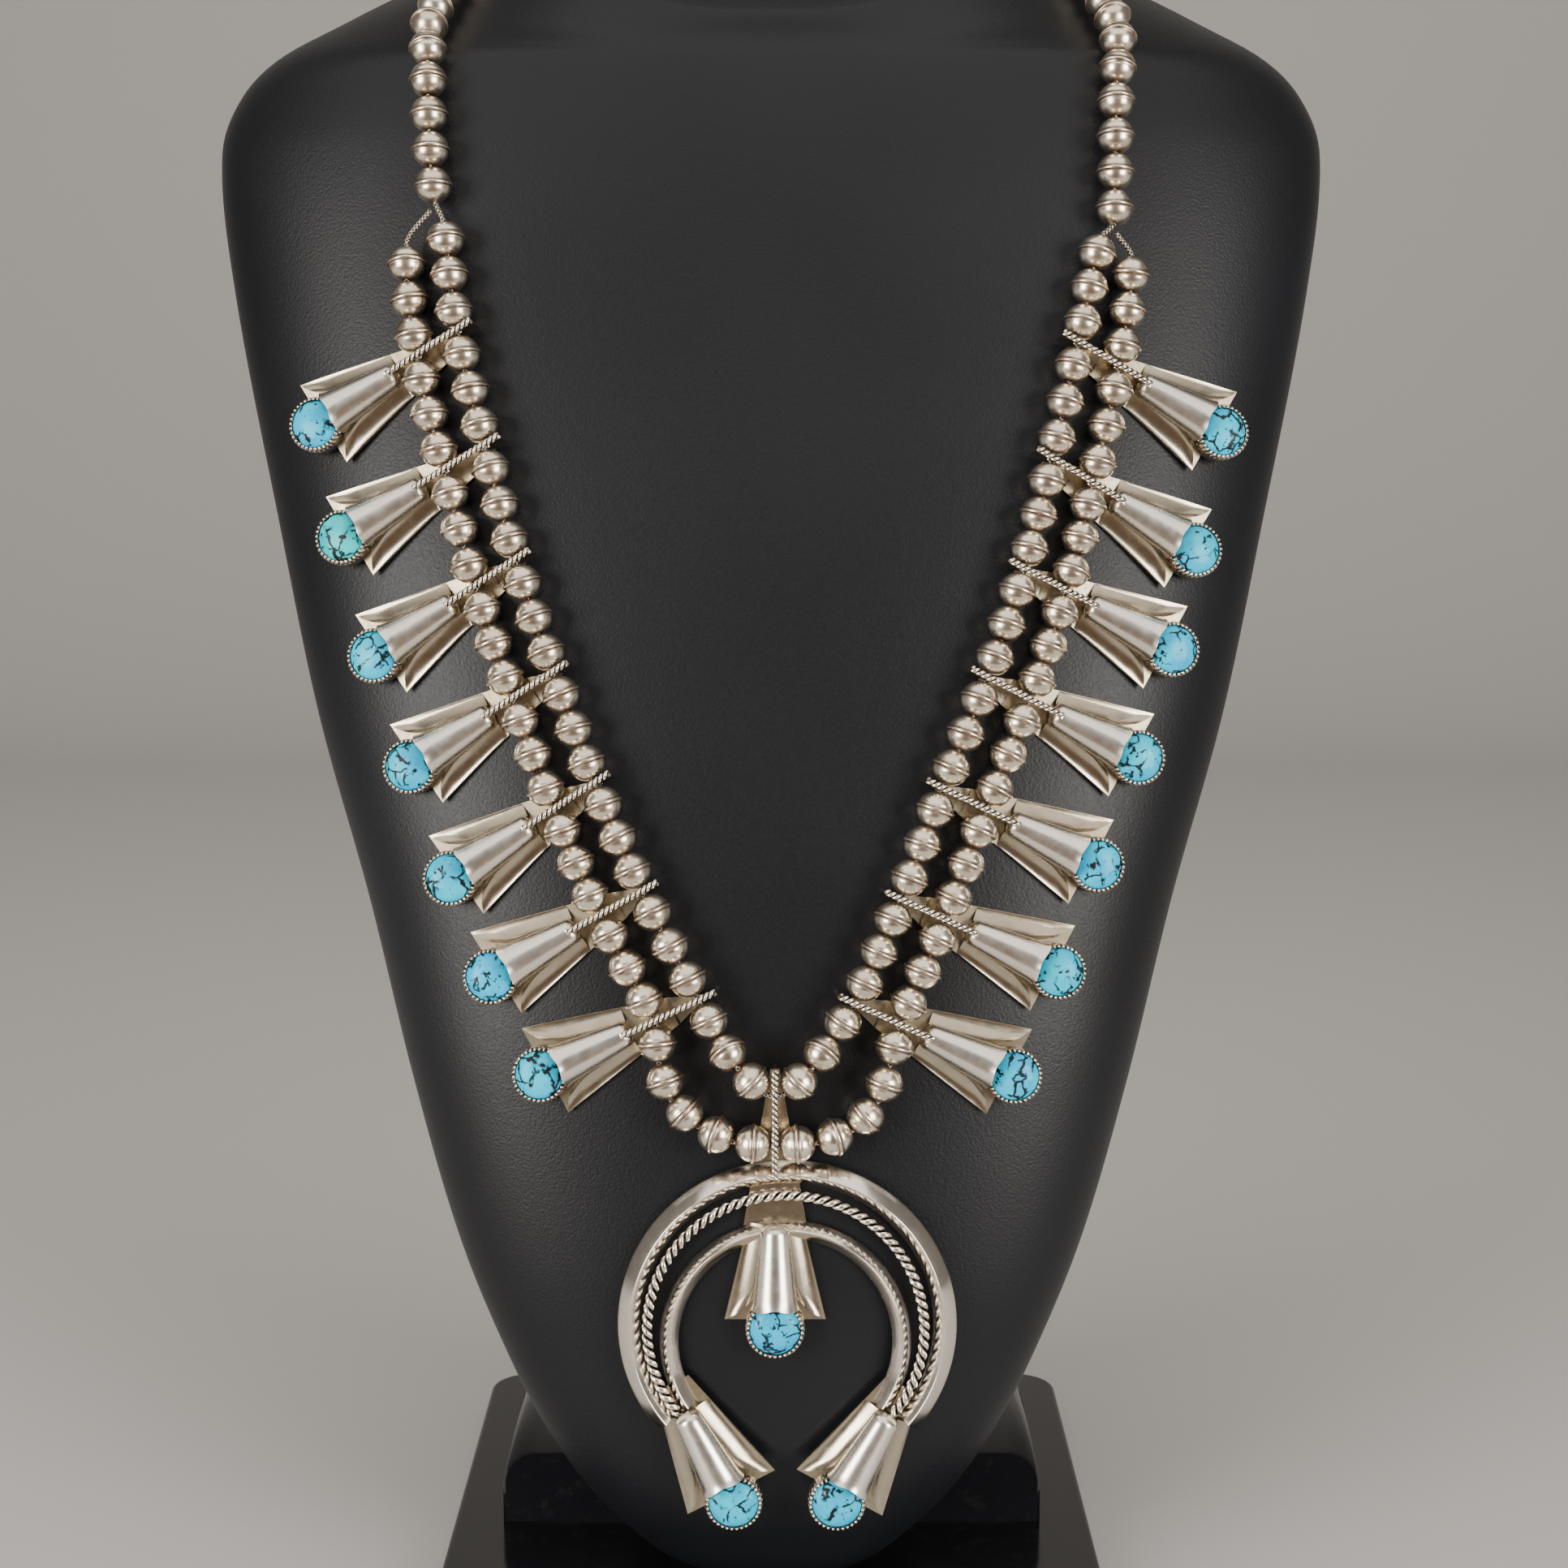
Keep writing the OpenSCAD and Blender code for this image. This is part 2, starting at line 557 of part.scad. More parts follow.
// Plan outline of a side petal: the cone's flank, just inside the plate's edge as
// far as the sharp tip, and the bulging rim from the tip back to the cone
module petal_outline(tx, ty) {
    edge = unit([tx, ty - plate_half]);
    inset = edge_inset * [edge[1], -edge[0]];
    start = [trough_start, plate_half + (ty - plate_half) * trough_start / tx] + inset;
    tip = [tx, ty] - edge_inset * edge + inset;
    chord = unit(tip - rim_at);
    pull = (tip + rim_at) / 2 + 2 * rim_bulge * [chord[1], -chord[0]];
    rim = [for (i = [0:rim_steps]) let (t = i / rim_steps)
        (1 - t) ^ 2 * tip + 2 * t * (1 - t) * pull + t ^ 2 * rim_at];
    polygon(concat([[trough_start, cone_top_r - sheet / 2], start], rim));
}
module side_petal(tx, ty) {
    run = tx + trough_over - trough_start;
    turn = atan((trough_end_y - trough_top_y) / run);
    widen = atan((trough_end_r - trough_top_r) / run);
    low = plate_z + sheet + sheet - trough_sink;
    intersection() {
        translate([trough_start, trough_top_y, low + trough_top_r]) rotate([0, 90 - widen, turn])
            difference() {
                cylinder(h = run, r1 = trough_top_r + sheet, r2 = trough_end_r + sheet);
                cylinder(h = run, r1 = trough_top_r, r2 = trough_end_r);
            }
        translate([0, 0, plate_z + sheet / 2]) linear_extrude(petal_h) petal_outline(tx, ty);
    }
}
module bezel() {
    difference() {
        translate([stone_x, 0, plate_z]) cylinder(h = bezel_top - plate_z, r = bezel_r);
        translate([stone_x, 0, cup_floor]) cylinder(h = 10, r = bezel_r - bezel_t);
    }
}
// Half width of the back plate at x = -back, for a petal tip at p
function plate_at(p, back) = plate_half - (p[1] - plate_half) * back / p[0];
// Cone, two side petals with tips at p and at the mirror image of q, and the bezel, with
// the plate under them cut off at x = -back
module flower(p, q, back) {
    translate([0, 0, plate_z]) linear_extrude(sheet)
        polygon([[-back, -plate_at(q, back)], [q[0], -q[1]], p, [-back, plate_at(p, back)]]);
    front_petal();
    side_petal(p[0], p[1]);
    mirror([0, 1, 0]) side_petal(q[0], q[1]);
    bezel();
}
// Strip on edge from x = -len to the cone, with its holes and its twisted wire
module shank(len, holes) {
    low = plate_z + sheet / 2;
    difference() {
        translate([-len, -shank_t / 2, low]) cube([len + 0.5, shank_t, wire_z - low - strip_drop]);
        for (h = holes)
            translate([-h, 0, bead_z]) rotate([90, 0, 0]) cylinder(h = 4, r = hole_r, center = true);
    }
    translate([-len, 0, wire_z]) twisted_wire(wire_r, len + wire_over, lobe);
}
UPPER_TIP = [upper_tip_x, upper_tip_y];
LOWER_TIP = [lower_tip_x, lower_tip_y];
module blossom(row) {
    p = row[0] > 0 ? UPPER_TIP : LOWER_TIP;
    q = row[0] > 0 ? LOWER_TIP : UPPER_TIP;
    color("#c4bcae") multmatrix(placing(blossom_frame(row))) {
        flower(p, q, plate_cut);
        translate([0, 0, plate_z]) linear_extrude(sheet)
            polygon([[-plate_end, -plate_end_half], [-plate_cut, -plate_at(q, plate_cut)],
                [-plate_cut + 1, 0], [-plate_cut, plate_at(p, plate_cut)], [-plate_end, plate_end_half]]);
        shank(shank_len, [hole_outer, hole_inner]);
    }
}
module stone() {
    dome_r = (stone_r ^ 2 + dome_h ^ 2) / (2 * dome_h);
    low = cup_floor + stone_gap;
    rotate_extrude() {
        translate([0, low]) square([stone_r, girdle_z - low]);
        difference() {
            translate([0, girdle_z + dome_h - dome_r]) circle(dome_r);
            translate([-2 * dome_r, girdle_z - 3 * dome_r]) square([4 * dome_r, 3 * dome_r]);
            translate([-2 * dome_r, -dome_r]) square([2 * dome_r, 3 * dome_r]);
        }
    }
}
module blossom_stone(row) {
    color("#35b4cf") multmatrix(placing(blossom_frame(row))) translate([stone_x, 0, 0]) stone();
}

// Crescent, in its own frame: x to the right, y up, z away from the bust
module band(r, w, ridge, h, below) {
    rotate([0, 0, -below]) rotate_extrude(angle = 180 + 2 * below)
        polygon([[r - w, band_z], [r, band_z], [r - ridge, band_z + h]]);
}
// Frames of the three blossoms of the crescent: place, turn and size
CRESCENT_FLOWERS = [
    [crescent_shift, stone_x * centre_scale, -90, centre_scale],
    [END_TOPS[0][0], END_TOPS[0][1], END_ANGLES[0], end_scale],
    [END_TOPS[1][0], END_TOPS[1][1], END_ANGLES[1], end_scale],
];
CRESCENT_TIP = [20.6, 10.3];
// The crescent's shank starts just inside its outer band
shank_foot = outer_band_r - 0.5;
module at_flower(i) {
    f = CRESCENT_FLOWERS[i];
    translate([f[0], f[1], 0]) rotate([0, 0, f[2]]) scale(f[3]) children();
}
module naja() {
    half_top = plate_flare * (plate_apex - plate_top);
    half_low = plate_flare * (plate_apex - CRESCENT_FLOWERS[0][1]);
    color("#c4bcae") multmatrix(placing(crescent_frame())) {
        band(outer_band_r, outer_band_w, outer_ridge, outer_band_h, outer_end);
        translate(inner_mid) band(inner_band_r, inner_band_w, inner_ridge, inner_band_h, inner_end);
        translate([mid_wire_mid[0], mid_wire_mid[1], mid_wire_z])
            bent_wire(mid_wire_path, mid_wire_r, -wire_end, 180 + wire_end, mid_lobe);
        translate([crescent_shift, 0, plate_z]) linear_extrude(sheet)
            polygon([[-half_low, CRESCENT_FLOWERS[0][1] - 1], [half_low, CRESCENT_FLOWERS[0][1] - 1],
                [half_top, plate_top], [-half_top, plate_top]]);
        for (i = [0:2]) at_flower(i) flower(CRESCENT_TIP, CRESCENT_TIP, i == 0 ? centre_back : end_back);
        translate([crescent_shift, shank_foot, 0]) rotate([0, 0, -90])
            shank(crescent_shank, [crescent_outer - shank_foot, crescent_inner - shank_foot]);
    }
}
module naja_stone(i) {
    color("#35b4cf") multmatrix(placing(crescent_frame())) at_flower(i) translate([stone_x, 0, 0]) stone();
}

translate([0, middle_y, 0]) {
    bust();
    bust_base();
    clasp();
    thread_main();
    thread_outer();
    beads_inner_left();
    beads_inner_right();
    beads_outer_left();
    beads_outer_right();
    beads_neck_left();
    beads_neck_right();
    for (i = [0:n_blossoms - 1]) {
        blossom(LEFT_BLOSSOMS[i]);
        blossom(RIGHT_BLOSSOMS[i]);
        blossom_stone(LEFT_BLOSSOMS[i]);
        blossom_stone(RIGHT_BLOSSOMS[i]);
    }
    naja();
    naja_stone(0);  // naja_stone_centre
    naja_stone(1);  // naja_stone_left
    naja_stone(2);  // naja_stone_right
}
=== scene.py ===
# %% [markdown]
# # A squash blossom necklace on its neck bust
#
# Two strands of hollow silver beads carry fourteen blossoms and a crescent, all set with
# turquoise. The necklace lies on a black neck bust. The CAD model fixes where every piece
# is, and this lesson gives each piece the finer shape and the finish of the real one.
# Shapes are worked out in millimetres, and their meshes hold them in metres.

# %% Load the fixed frame
import bpy
import math
import numpy as np
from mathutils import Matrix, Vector


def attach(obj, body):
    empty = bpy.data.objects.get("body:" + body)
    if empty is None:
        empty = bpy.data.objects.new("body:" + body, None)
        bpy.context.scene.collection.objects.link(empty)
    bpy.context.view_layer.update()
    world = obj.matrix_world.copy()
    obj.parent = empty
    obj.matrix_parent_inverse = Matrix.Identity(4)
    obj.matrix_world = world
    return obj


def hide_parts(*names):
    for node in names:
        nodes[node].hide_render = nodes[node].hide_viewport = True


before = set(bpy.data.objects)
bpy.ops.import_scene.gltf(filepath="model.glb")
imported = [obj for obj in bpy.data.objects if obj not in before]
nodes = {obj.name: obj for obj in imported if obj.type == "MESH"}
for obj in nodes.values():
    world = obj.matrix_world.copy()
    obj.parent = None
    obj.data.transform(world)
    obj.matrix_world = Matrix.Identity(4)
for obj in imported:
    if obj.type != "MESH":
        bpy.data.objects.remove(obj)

scene = bpy.context.scene
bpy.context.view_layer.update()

# %% [markdown]
# ## The camera
#
# The photo was taken from a little above the middle of the bust, looking down by nine and
# a half degrees. A long lens keeps the bust's sides nearly parallel. The necklace fills
# the frame, so the foot of the bust just shows at the lower edge.

# %% Place the camera
MM = 0.001
MIDDLE_Y = -24.0            # the CAD model's shift to its own middle
CAMERA_AT = (3.0, MIDDLE_Y - 584.3, 287.6)
LENS_MM, SENSOR_MM = 60.28, 36
LOOK_DOWN = 9.5             # degrees

camera_data = bpy.data.cameras.new("camera")
camera_data.lens = LENS_MM
camera_data.sensor_width = SENSOR_MM
camera_data.clip_end = 20
camera = bpy.data.objects.new("camera", camera_data)
camera.location = [v * MM for v in CAMERA_AT]
camera.rotation_euler = (math.radians(90 - LOOK_DOWN), 0, 0)
scene.collection.objects.link(camera)
scene.camera = camera
print("camera at", tuple(round(v, 4) for v in camera.location))

# %% [markdown]
# ## Floor and light
#
# Silver has no colour of its own beyond a warm tint: it shows the room. Each bead in the
# photo shows two bright windows, left and right, with a dark gap between them. So the
# light comes from two tall soft boxes, with a wide dim one overhead. A pale floor curves
# up into a backdrop, and a brown flag lies on it in front of the bust. Only reflections
# show the flag, so it darkens the undersides of the silver and leaves the floor as it is.

# %% Helpers that turn arrays into grids, meshes and materials
def grid(x, y, z):
    """A grid of points from three coordinates whose shapes fit together."""
    return np.stack(np.broadcast_arrays(x, y, z), -1)


def grid_faces(rows, cols, close_rows=False, close_cols=False):
    """Quads of a grid of points numbered row by row: corner (i, j) joins (i, j + 1),
    (i + 1, j + 1) and (i + 1, j). A closed direction wraps round to its first line."""
    i = np.arange(rows if close_rows else rows - 1)[:, None]
    j = np.arange(cols if close_cols else cols - 1)[None, :]
    up, right = (i + 1) % rows, (j + 1) % cols
    corners = (i * cols + j, i * cols + right, up * cols + right, up * cols + j)
    return np.stack(np.broadcast_arrays(*corners), -1).reshape(-1, 4)


def full_turn(steps):
    """Angles of a full turn, without the last one, which is the first again."""
    return np.linspace(0, 2 * math.pi, steps, endpoint=False)


def quarter_turn(steps):
    """Angles of a quarter turn, with both ends."""
    return np.linspace(0, math.pi / 2, steps)


def new_mesh_object(name, points, faces, smooth=True):
    """Puts points and faces into a new mesh object at the origin."""
    mesh = bpy.data.meshes.new(name)
    mesh.from_pydata(np.asarray(points, float).tolist(), [], [list(f) for f in faces])
    mesh.polygons.foreach_set("use_smooth", np.full(len(mesh.polygons), smooth))
    mesh.update()
    obj = bpy.data.objects.new(name, mesh)
    scene.collection.objects.link(obj)
    return obj


def new_material(name, settings):
    """A material and its node tree, with the shader's inputs set by name."""
    material = bpy.data.materials.new(name)
    material.use_nodes = True
    shader = material.node_tree.nodes["Principled BSDF"]
    for key, value in settings.items():
        shader.inputs[key].default_value = value
    return material, material.node_tree


print("a grid of 3 by 4 points has", len(grid_faces(3, 4)), "faces")


# %% Make the floor, the backdrop and the flag
def sweep_floor(width, front, back, height, radius):
    """A flat sheet from y = front to y = back, then a quarter circle of the given radius,
    then a wall as high as height."""
    angle = quarter_turn(24)
    y = np.concatenate([[front, back], back + radius * np.sin(angle), [back + radius]])
    z = np.concatenate([[0, 0], radius * (1 - np.cos(angle)), [height]])
    points = grid(np.linspace(-width / 2, width / 2, 3), y[:, None], z[:, None])
    return points.reshape(-1, 3), grid_faces(len(y), 3)


def stage_piece(name, points, faces, colour, roughness):
    """A plain piece of the studio, which isn't part of the object."""
    obj = new_mesh_object(name, points, faces)
    obj.data.materials.append(new_material(name, {"Base Color": colour, "Roughness": roughness})[0])
    return obj


sweep = sweep_floor(width=16, front=-3, back=1.2, height=3, radius=0.8)
floor = stage_piece("studio_floor", *sweep, (0.62, 0.61, 0.60, 1), 0.7)
flag_corners = [(-0.8, -1.7, 0.004), (0.8, -1.7, 0.004), (0.8, -0.3, 0.004), (-0.8, -0.3, 0.004)]
flag = stage_piece("brown_flag", flag_corners, [(0, 1, 2, 3)], (0.10, 0.055, 0.025, 1), 0.9)
flag.visible_camera = False
flag.visible_shadow = False
flag.visible_diffuse = False
print("floor of", len(floor.data.polygons), "faces, flag of", len(flag.data.polygons))

# %% Hang the lights
WARM = (1.0, 0.95, 0.89)
AIM = (0, -0.05, 0.22)


def soft_box(name, place, aim, width, height, power):
    """A warm area light of the given size at a place, turned to face its aim."""
    data = bpy.data.lights.new(name, "AREA")
    data.shape = "RECTANGLE"
    data.size, data.size_y = width, height
    data.energy = power
    data.color = WARM
    obj = bpy.data.objects.new(name, data)
    obj.location = place
    obj.rotation_euler = (Vector(aim) - Vector(place)).to_track_quat("-Z", "Y").to_euler()
    scene.collection.objects.link(obj)


soft_box("window_left", (-0.92, -0.95, 0.30), AIM, 0.55, 0.8, 21)
soft_box("window_right", (0.92, -0.95, 0.28), AIM, 0.55, 0.8, 19)
soft_box("overhead", (0.0, -0.6, 1.5), (0, 0, 0.2), 2.4, 1.8, 18)
world = bpy.data.worlds.new("studio")
world.use_nodes = True
room = world.node_tree.nodes["Background"].inputs
room["Color"].default_value = (0.86, 0.78, 0.70, 1)
room["Strength"].default_value = 0.20
scene.world = world

# %% [markdown]
# ## The surface of the bust
#
# The bust is a padded shape with no flat side. Each level has a squared-off oval section,
# and a smooth curve through a few listed rows gives the section at any height. The
# necklace lies on that surface, so the beads and blossoms use the same two functions.

# %% The bust as a function of height and angle
# height, half width, front y, depth to the widest line, depth behind it, rise at the back
SECTION = np.array([
    (9.5, 4, -20, 6, 69, 0), (12, 17, -26, 10, 69, 0), (16, 25, -31, 14, 69, 0),
    (24, 34, -36, 19, 69, 0), (32, 41, -40, 22, 70, 0), (46, 50.5, -43, 25, 70, 0),
    (63, 59, -44.5, 27, 68, 0), (90, 70, -45, 31, 66, 0), (125, 80.5, -42, 35, 64, 0),
    (165, 91, -36, 39, 60, 0), (205, 103, -28.5, 42, 56, 0), (247, 112.5, -20, 44, 50, 0),
    (300, 124, -7, 46, 44, 0), (331, 127.5, 1, 46, 38, 0), (345, 122.7, 4.5, 46, 38, 4),
    (355, 113, 7, 46, 39, 10), (364, 96, 8.5, 46, 40, 22), (372, 76, 9.5, 45, 42, 34),
    (383, 58, 10.3, 43, 43, 50), (398, 50, 11, 42, 42, 76)], float)
HALF_WIDTH, FRONT, AHEAD, BEHIND, RISE = range(1, 6)
LEVELS, TOP_LEVEL = SECTION[:, 0], SECTION[-1, 0]
SEAT, SHOULDER = 24.0, 331  # heights where the bust meets its foot and where it is widest
SQUARE = 2.6                # power of the squared oval; 2 would be a plain one


def hermite(t, span, start, end, leave, arrive):
    """Cubic from start to end over a span, with the given slopes at its two ends."""
    return ((2 * t**3 - 3 * t**2 + 1) * start + (t**3 - 2 * t**2 + t) * span * leave
            + (3 * t**2 - 2 * t**3) * end + (t**3 - t**2) * span * arrive)


def column(c, height):
    """Value of one column at any height: a Hermite curve through the rows, whose slope at
    a row is that of the line through its two neighbours."""
    h = np.asarray(height, float)
    row = np.arange(len(LEVELS))
    low, high = np.maximum(row - 1, 0), np.minimum(row + 1, len(LEVELS) - 1)
    slope = (SECTION[high, c] - SECTION[low, c]) / (LEVELS[high] - LEVELS[low])
    k = np.clip(np.searchsorted(LEVELS, h, side="right") - 1, 0, len(LEVELS) - 2)
    span = LEVELS[k + 1] - LEVELS[k]
    return hermite((h - LEVELS[k]) / span, span, SECTION[k, c], SECTION[k + 1, c], slope[k], slope[k + 1])


def squared(v):
    """Signed power that turns a circle's coordinate into a squared oval's."""
    return np.sign(v) * np.abs(v) ** (2 / SQUARE)


def bust_point(height, angle):
    """Point of the bust: an oval half as wide as the row, front half and back half of
    different depth, raised towards the back by the row's rise."""
    front = column(AHEAD, height)
    back = np.where(np.asarray(height) < SEAT, front, column(BEHIND, height))
    c = squared(np.cos(angle))
    y = np.where(c > 0, -front * c, -back * c)
    return grid(column(HALF_WIDTH, height) * squared(np.sin(angle)),
                column(FRONT, height) + front + y + MIDDLE_Y,
                height + column(RISE, height) * y / (front + back))


def front_y(x, z):
    """Depth of the bust's front at a place x, z."""
    t = np.minimum(np.abs(x) / column(HALF_WIDTH, z), 0.995)
    return column(FRONT, z) + column(AHEAD, z) * (1 - (1 - t**SQUARE) ** (1 / SQUARE)) + MIDDLE_Y


def unit(v):
    """Vectors divided by their lengths."""
    return v / np.linalg.norm(v, axis=-1, keepdims=True)


def front_normal(x, z):
    """Outward normal of the front, from the slopes of its depth over one millimetre."""
    slope_x = front_y(x + 0.5, z) - front_y(x - 0.5, z)
    slope_z = front_y(x, z + 0.5) - front_y(x, z - 0.5)
    return unit(np.array([slope_x, -1.0, slope_z]))


print("bust is", round(float(2 * column(HALF_WIDTH, SHOULDER)), 1), "mm wide at its shoulders")

# %% [markdown]
# ## How the pieces are put together
#
# A soldered blossom is one piece of many surfaces: plate, petals, cone, bezel, rope. Each
# surface is a grid worked out in the blossom's own flat frame, then all of them are moved
# onto the bust together and joined. Every point also carries two small numbers for the
# material: how much painted shade darkens it, in creases, under overhangs and where parts
# meet, and a tone that differs a little from piece to piece.

# %% Helpers that make surfaces
def part(points, faces, painted_shade=0.0, smooth=True, uv=None):
    """One surface with its points, its faces and what the material needs to know."""
    return {"points": points, "faces": faces, "smooth": smooth, "uv": uv, "finish": 0,
            "painted_shade": np.broadcast_to(painted_shade, len(points)).astype(float)}


def surface(points, closed_rows=False, closed_cols=False, flip=False, painted_shade=0.0, smooth=True, uv=None):
    """A grid of points of shape (rows, cols, 3)."""
    faces = grid_faces(*points.shape[:2], closed_rows, closed_cols)
    painted_shade = np.broadcast_to(painted_shade, points.shape[:2]).reshape(-1)
    return part(points.reshape(-1, 3), (faces[:, ::-1] if flip else faces).tolist(), painted_shade, smooth, uv)


def lid(ring, flip=False, painted_shade=0.0):
    """One flat many-sided face over a closed ring of points."""
    order = list(range(len(ring)))
    return part(ring, [order[::-1] if flip else order], painted_shade, smooth=False)


def capped(rings, flip=False, painted_shade=0.0):
    """A stack of closed rings with a lid on its last and its first one."""
    return [surface(rings, closed_cols=True, flip=flip, painted_shade=painted_shade),
            lid(rings[-1], flip=flip), lid(rings[0], flip=not flip)]


def at_height(outline, height):
    """Points of a flat outline at one height."""
    return np.column_stack([outline, np.full(len(outline), height)])


def slab(outline, low, high, painted_shade=0.0):
    """A flat sheet: an outline, counter-clockwise seen from above, between two heights."""
    bottom, top = at_height(outline, low), at_height(outline, high)
    wall = surface(np.stack([bottom, top]), closed_cols=True, smooth=False, painted_shade=painted_shade)
    return [lid(top, painted_shade=painted_shade), lid(bottom, flip=True, painted_shade=painted_shade), wall]


def shell(outer, inner, painted_shade, inside):
    """A thin wall: two grids of the same size with their four edges joined."""
    rims = [np.stack([inner[0], outer[0]]), np.stack([outer[-1], inner[-1]]),
            np.stack([outer[:, 0], inner[:, 0]]), np.stack([inner[:, -1], outer[:, -1]])]
    return ([surface(outer, painted_shade=painted_shade), surface(inner, flip=True, painted_shade=inside)]
            + [surface(rim, smooth=False) for rim in rims])


def face_count(parts):
    """Number of faces of some surfaces together."""
    return sum(len(p["faces"]) for p in parts)


print("a slab has", face_count(slab([(0, 0), (1, 0), (1, 1), (0, 1)], 0, 1)), "faces")


# %% Helpers that move surfaces and join them
def placed(parts, origin, *axes):
    """The same surfaces moved from their flat frame to an origin and three axes."""
    return [dict(p, points=origin + p["points"] @ np.stack(axes)) for p in parts]


def turned(parts, x, y, degrees, scale=1.0):
    """The same surfaces scaled, turned about z and moved in their own plane."""
    c, s = math.cos(math.radians(degrees)), math.sin(math.radians(degrees))
    return placed(parts, np.array([x, y, 0.0]), *np.array([(c, s, 0), (-s, c, 0), (0, 0, 1)]) * scale)


def mirrored(parts):
    """The same surfaces reflected across the x axis, with their faces turned back."""
    return [dict(p, points=p["points"] * (1, -1, 1), faces=[f[::-1] for f in p["faces"]]) for p in parts]


def finished(parts, index):
    """The same surfaces, given the material at a place in the piece's list."""
    return [dict(p, finish=index) for p in parts]


def add_uv(mesh, parts):
    """Writes the UV of the surfaces that have one; the others get zeros."""
    uv = [np.zeros((len(p["points"]), 2)) if p["uv"] is None else p["uv"].reshape(-1, 2) for p in parts]
    corner = np.zeros(len(mesh.loops), np.int32)
    mesh.loops.foreach_get("vertex_index", corner)
    along = np.concatenate(uv)[corner].astype(np.float32)
    mesh.uv_layers.new(name="along").data.foreach_set("uv", along.ravel())


def build_piece(name, parts, materials, stands_for, tone=0.5):
    """Joins surfaces into one mesh object, in metres, that rides the bust."""
    points = np.concatenate([p["points"] for p in parts]) * MM
    offsets = np.cumsum([0] + [len(p["points"]) for p in parts])
    faces = [[v + int(o) for v in f] for p, o in zip(parts, offsets) for f in p["faces"]]
    counts = [len(p["faces"]) for p in parts]
    obj = new_mesh_object(name, points, faces, np.repeat([p["smooth"] for p in parts], counts))
    finish = np.repeat([p["finish"] for p in parts], counts)
    obj.data.polygons.foreach_set("material_index", finish.astype(np.int32))
    # each point's mark of painted shade goes to the material as an attribute
    painted_shade = np.concatenate([p["painted_shade"] for p in parts])
    for key, value in (("painted_shade", painted_shade), ("tone", np.full(len(points), tone))):
        attribute = obj.data.attributes.new(key, "FLOAT", "POINT")
        attribute.data.foreach_set("value", value.astype(np.float32))
    if parts[0]["uv"] is not None:
        add_uv(obj.data, parts)
    for material in materials:
        obj.data.materials.append(material)
    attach(obj, "root")
    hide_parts(*stands_for)
    obj.data.calc_loop_triangles()
    print(name, "has", len(obj.data.loop_triangles), "triangles")


# %% [markdown]
# ## Effects that several materials share
#
# Hand work is never even. Two node groups give it: one mixes a clean tone with a
# tarnished one in slow patches, and darkens each point by its mark of painted shade too; the
# other bends the light with shallow dents and fine scratches. Each material sets its own
# numbers for them.

# %% Helpers that add nodes
def feed(tree, socket, value):
    """Links an output to a socket, or sets the socket to a plain value."""
    if isinstance(value, bpy.types.NodeSocket):
        tree.links.new(value, socket)
    else:
        socket.default_value = value


def add_node(tree, kind, **settings):
    """Adds a node; settings that name an input feed it, others set a property."""
    node = tree.nodes.new(kind)
    for key, value in settings.items():
        if key in node.inputs:
            feed(tree, node.inputs[key], value)
        else:
            setattr(node, key, value)
    return node


def object_place(tree):
    """Object coordinates, which stay with the piece."""
    return add_node(tree, "ShaderNodeTexCoord").outputs["Object"]


def add_math(tree, operation, *values, kind="ShaderNodeMath"):
    """A Math or Vector Math node whose inputs are numbers or sockets; returns its output."""
    node = add_node(tree, kind, operation=operation)
    for socket, value in zip(node.inputs, values):
        feed(tree, socket, value)
    return node.outputs[0]


def add_noise(tree, coords, scale, detail=3.0, rough=0.5, output="Fac"):
    """Noise at the given coordinates."""
    node = add_node(tree, "ShaderNodeTexNoise", Vector=coords, Scale=scale, Detail=detail, Roughness=rough)
    return node.outputs[output]


def add_ramp(tree, value, low, high):
    """Clamped straight line from 0 at low to 1 at high."""
    ends = {"From Min": low, "From Max": high}
    return add_node(tree, "ShaderNodeMapRange", clamp=True, Value=value, **ends).outputs["Result"]


def add_mix(tree, factor, first, second):
    """Colour mix of two colours or sockets: a Mix node has its colours at inputs 6 and 7."""
    node = add_node(tree, "ShaderNodeMix", data_type="RGBA")
    for place, value in ((0, factor), (6, first), (7, second)):
        feed(tree, node.inputs[place], value)
    return node.outputs[2]


def finish_shader(tree, colour, roughness, height, strength, distance):
    """Feeds a shader its colour and roughness, and bends its normal by a height."""
    inputs = tree.nodes["Principled BSDF"].inputs
    feed(tree, inputs["Base Color"], colour)
    feed(tree, inputs["Roughness"], roughness)
    bump = add_node(tree, "ShaderNodeBump", Height=height, Strength=strength, Distance=distance)
    feed(tree, inputs["Normal"], bump.outputs["Normal"])


def new_group(name, inputs, outputs):
    """A shader node group; returns it, what comes in and what goes out. An input whose
    first value is a colour is a colour socket, any other is a number."""
    group = bpy.data.node_groups.new(name, "ShaderNodeTree")
    for key, value in inputs.items():
        kind = "NodeSocketColor" if isinstance(value, tuple) else "NodeSocketFloat"
        socket = group.interface.new_socket(name=key, in_out="INPUT", socket_type=kind)
        socket.default_value = value
    for key, kind in outputs.items():
        group.interface.new_socket(name=key, in_out="OUTPUT", socket_type=kind)
    return group, group.nodes.new("NodeGroupInput").outputs, group.nodes.new("NodeGroupOutput").inputs


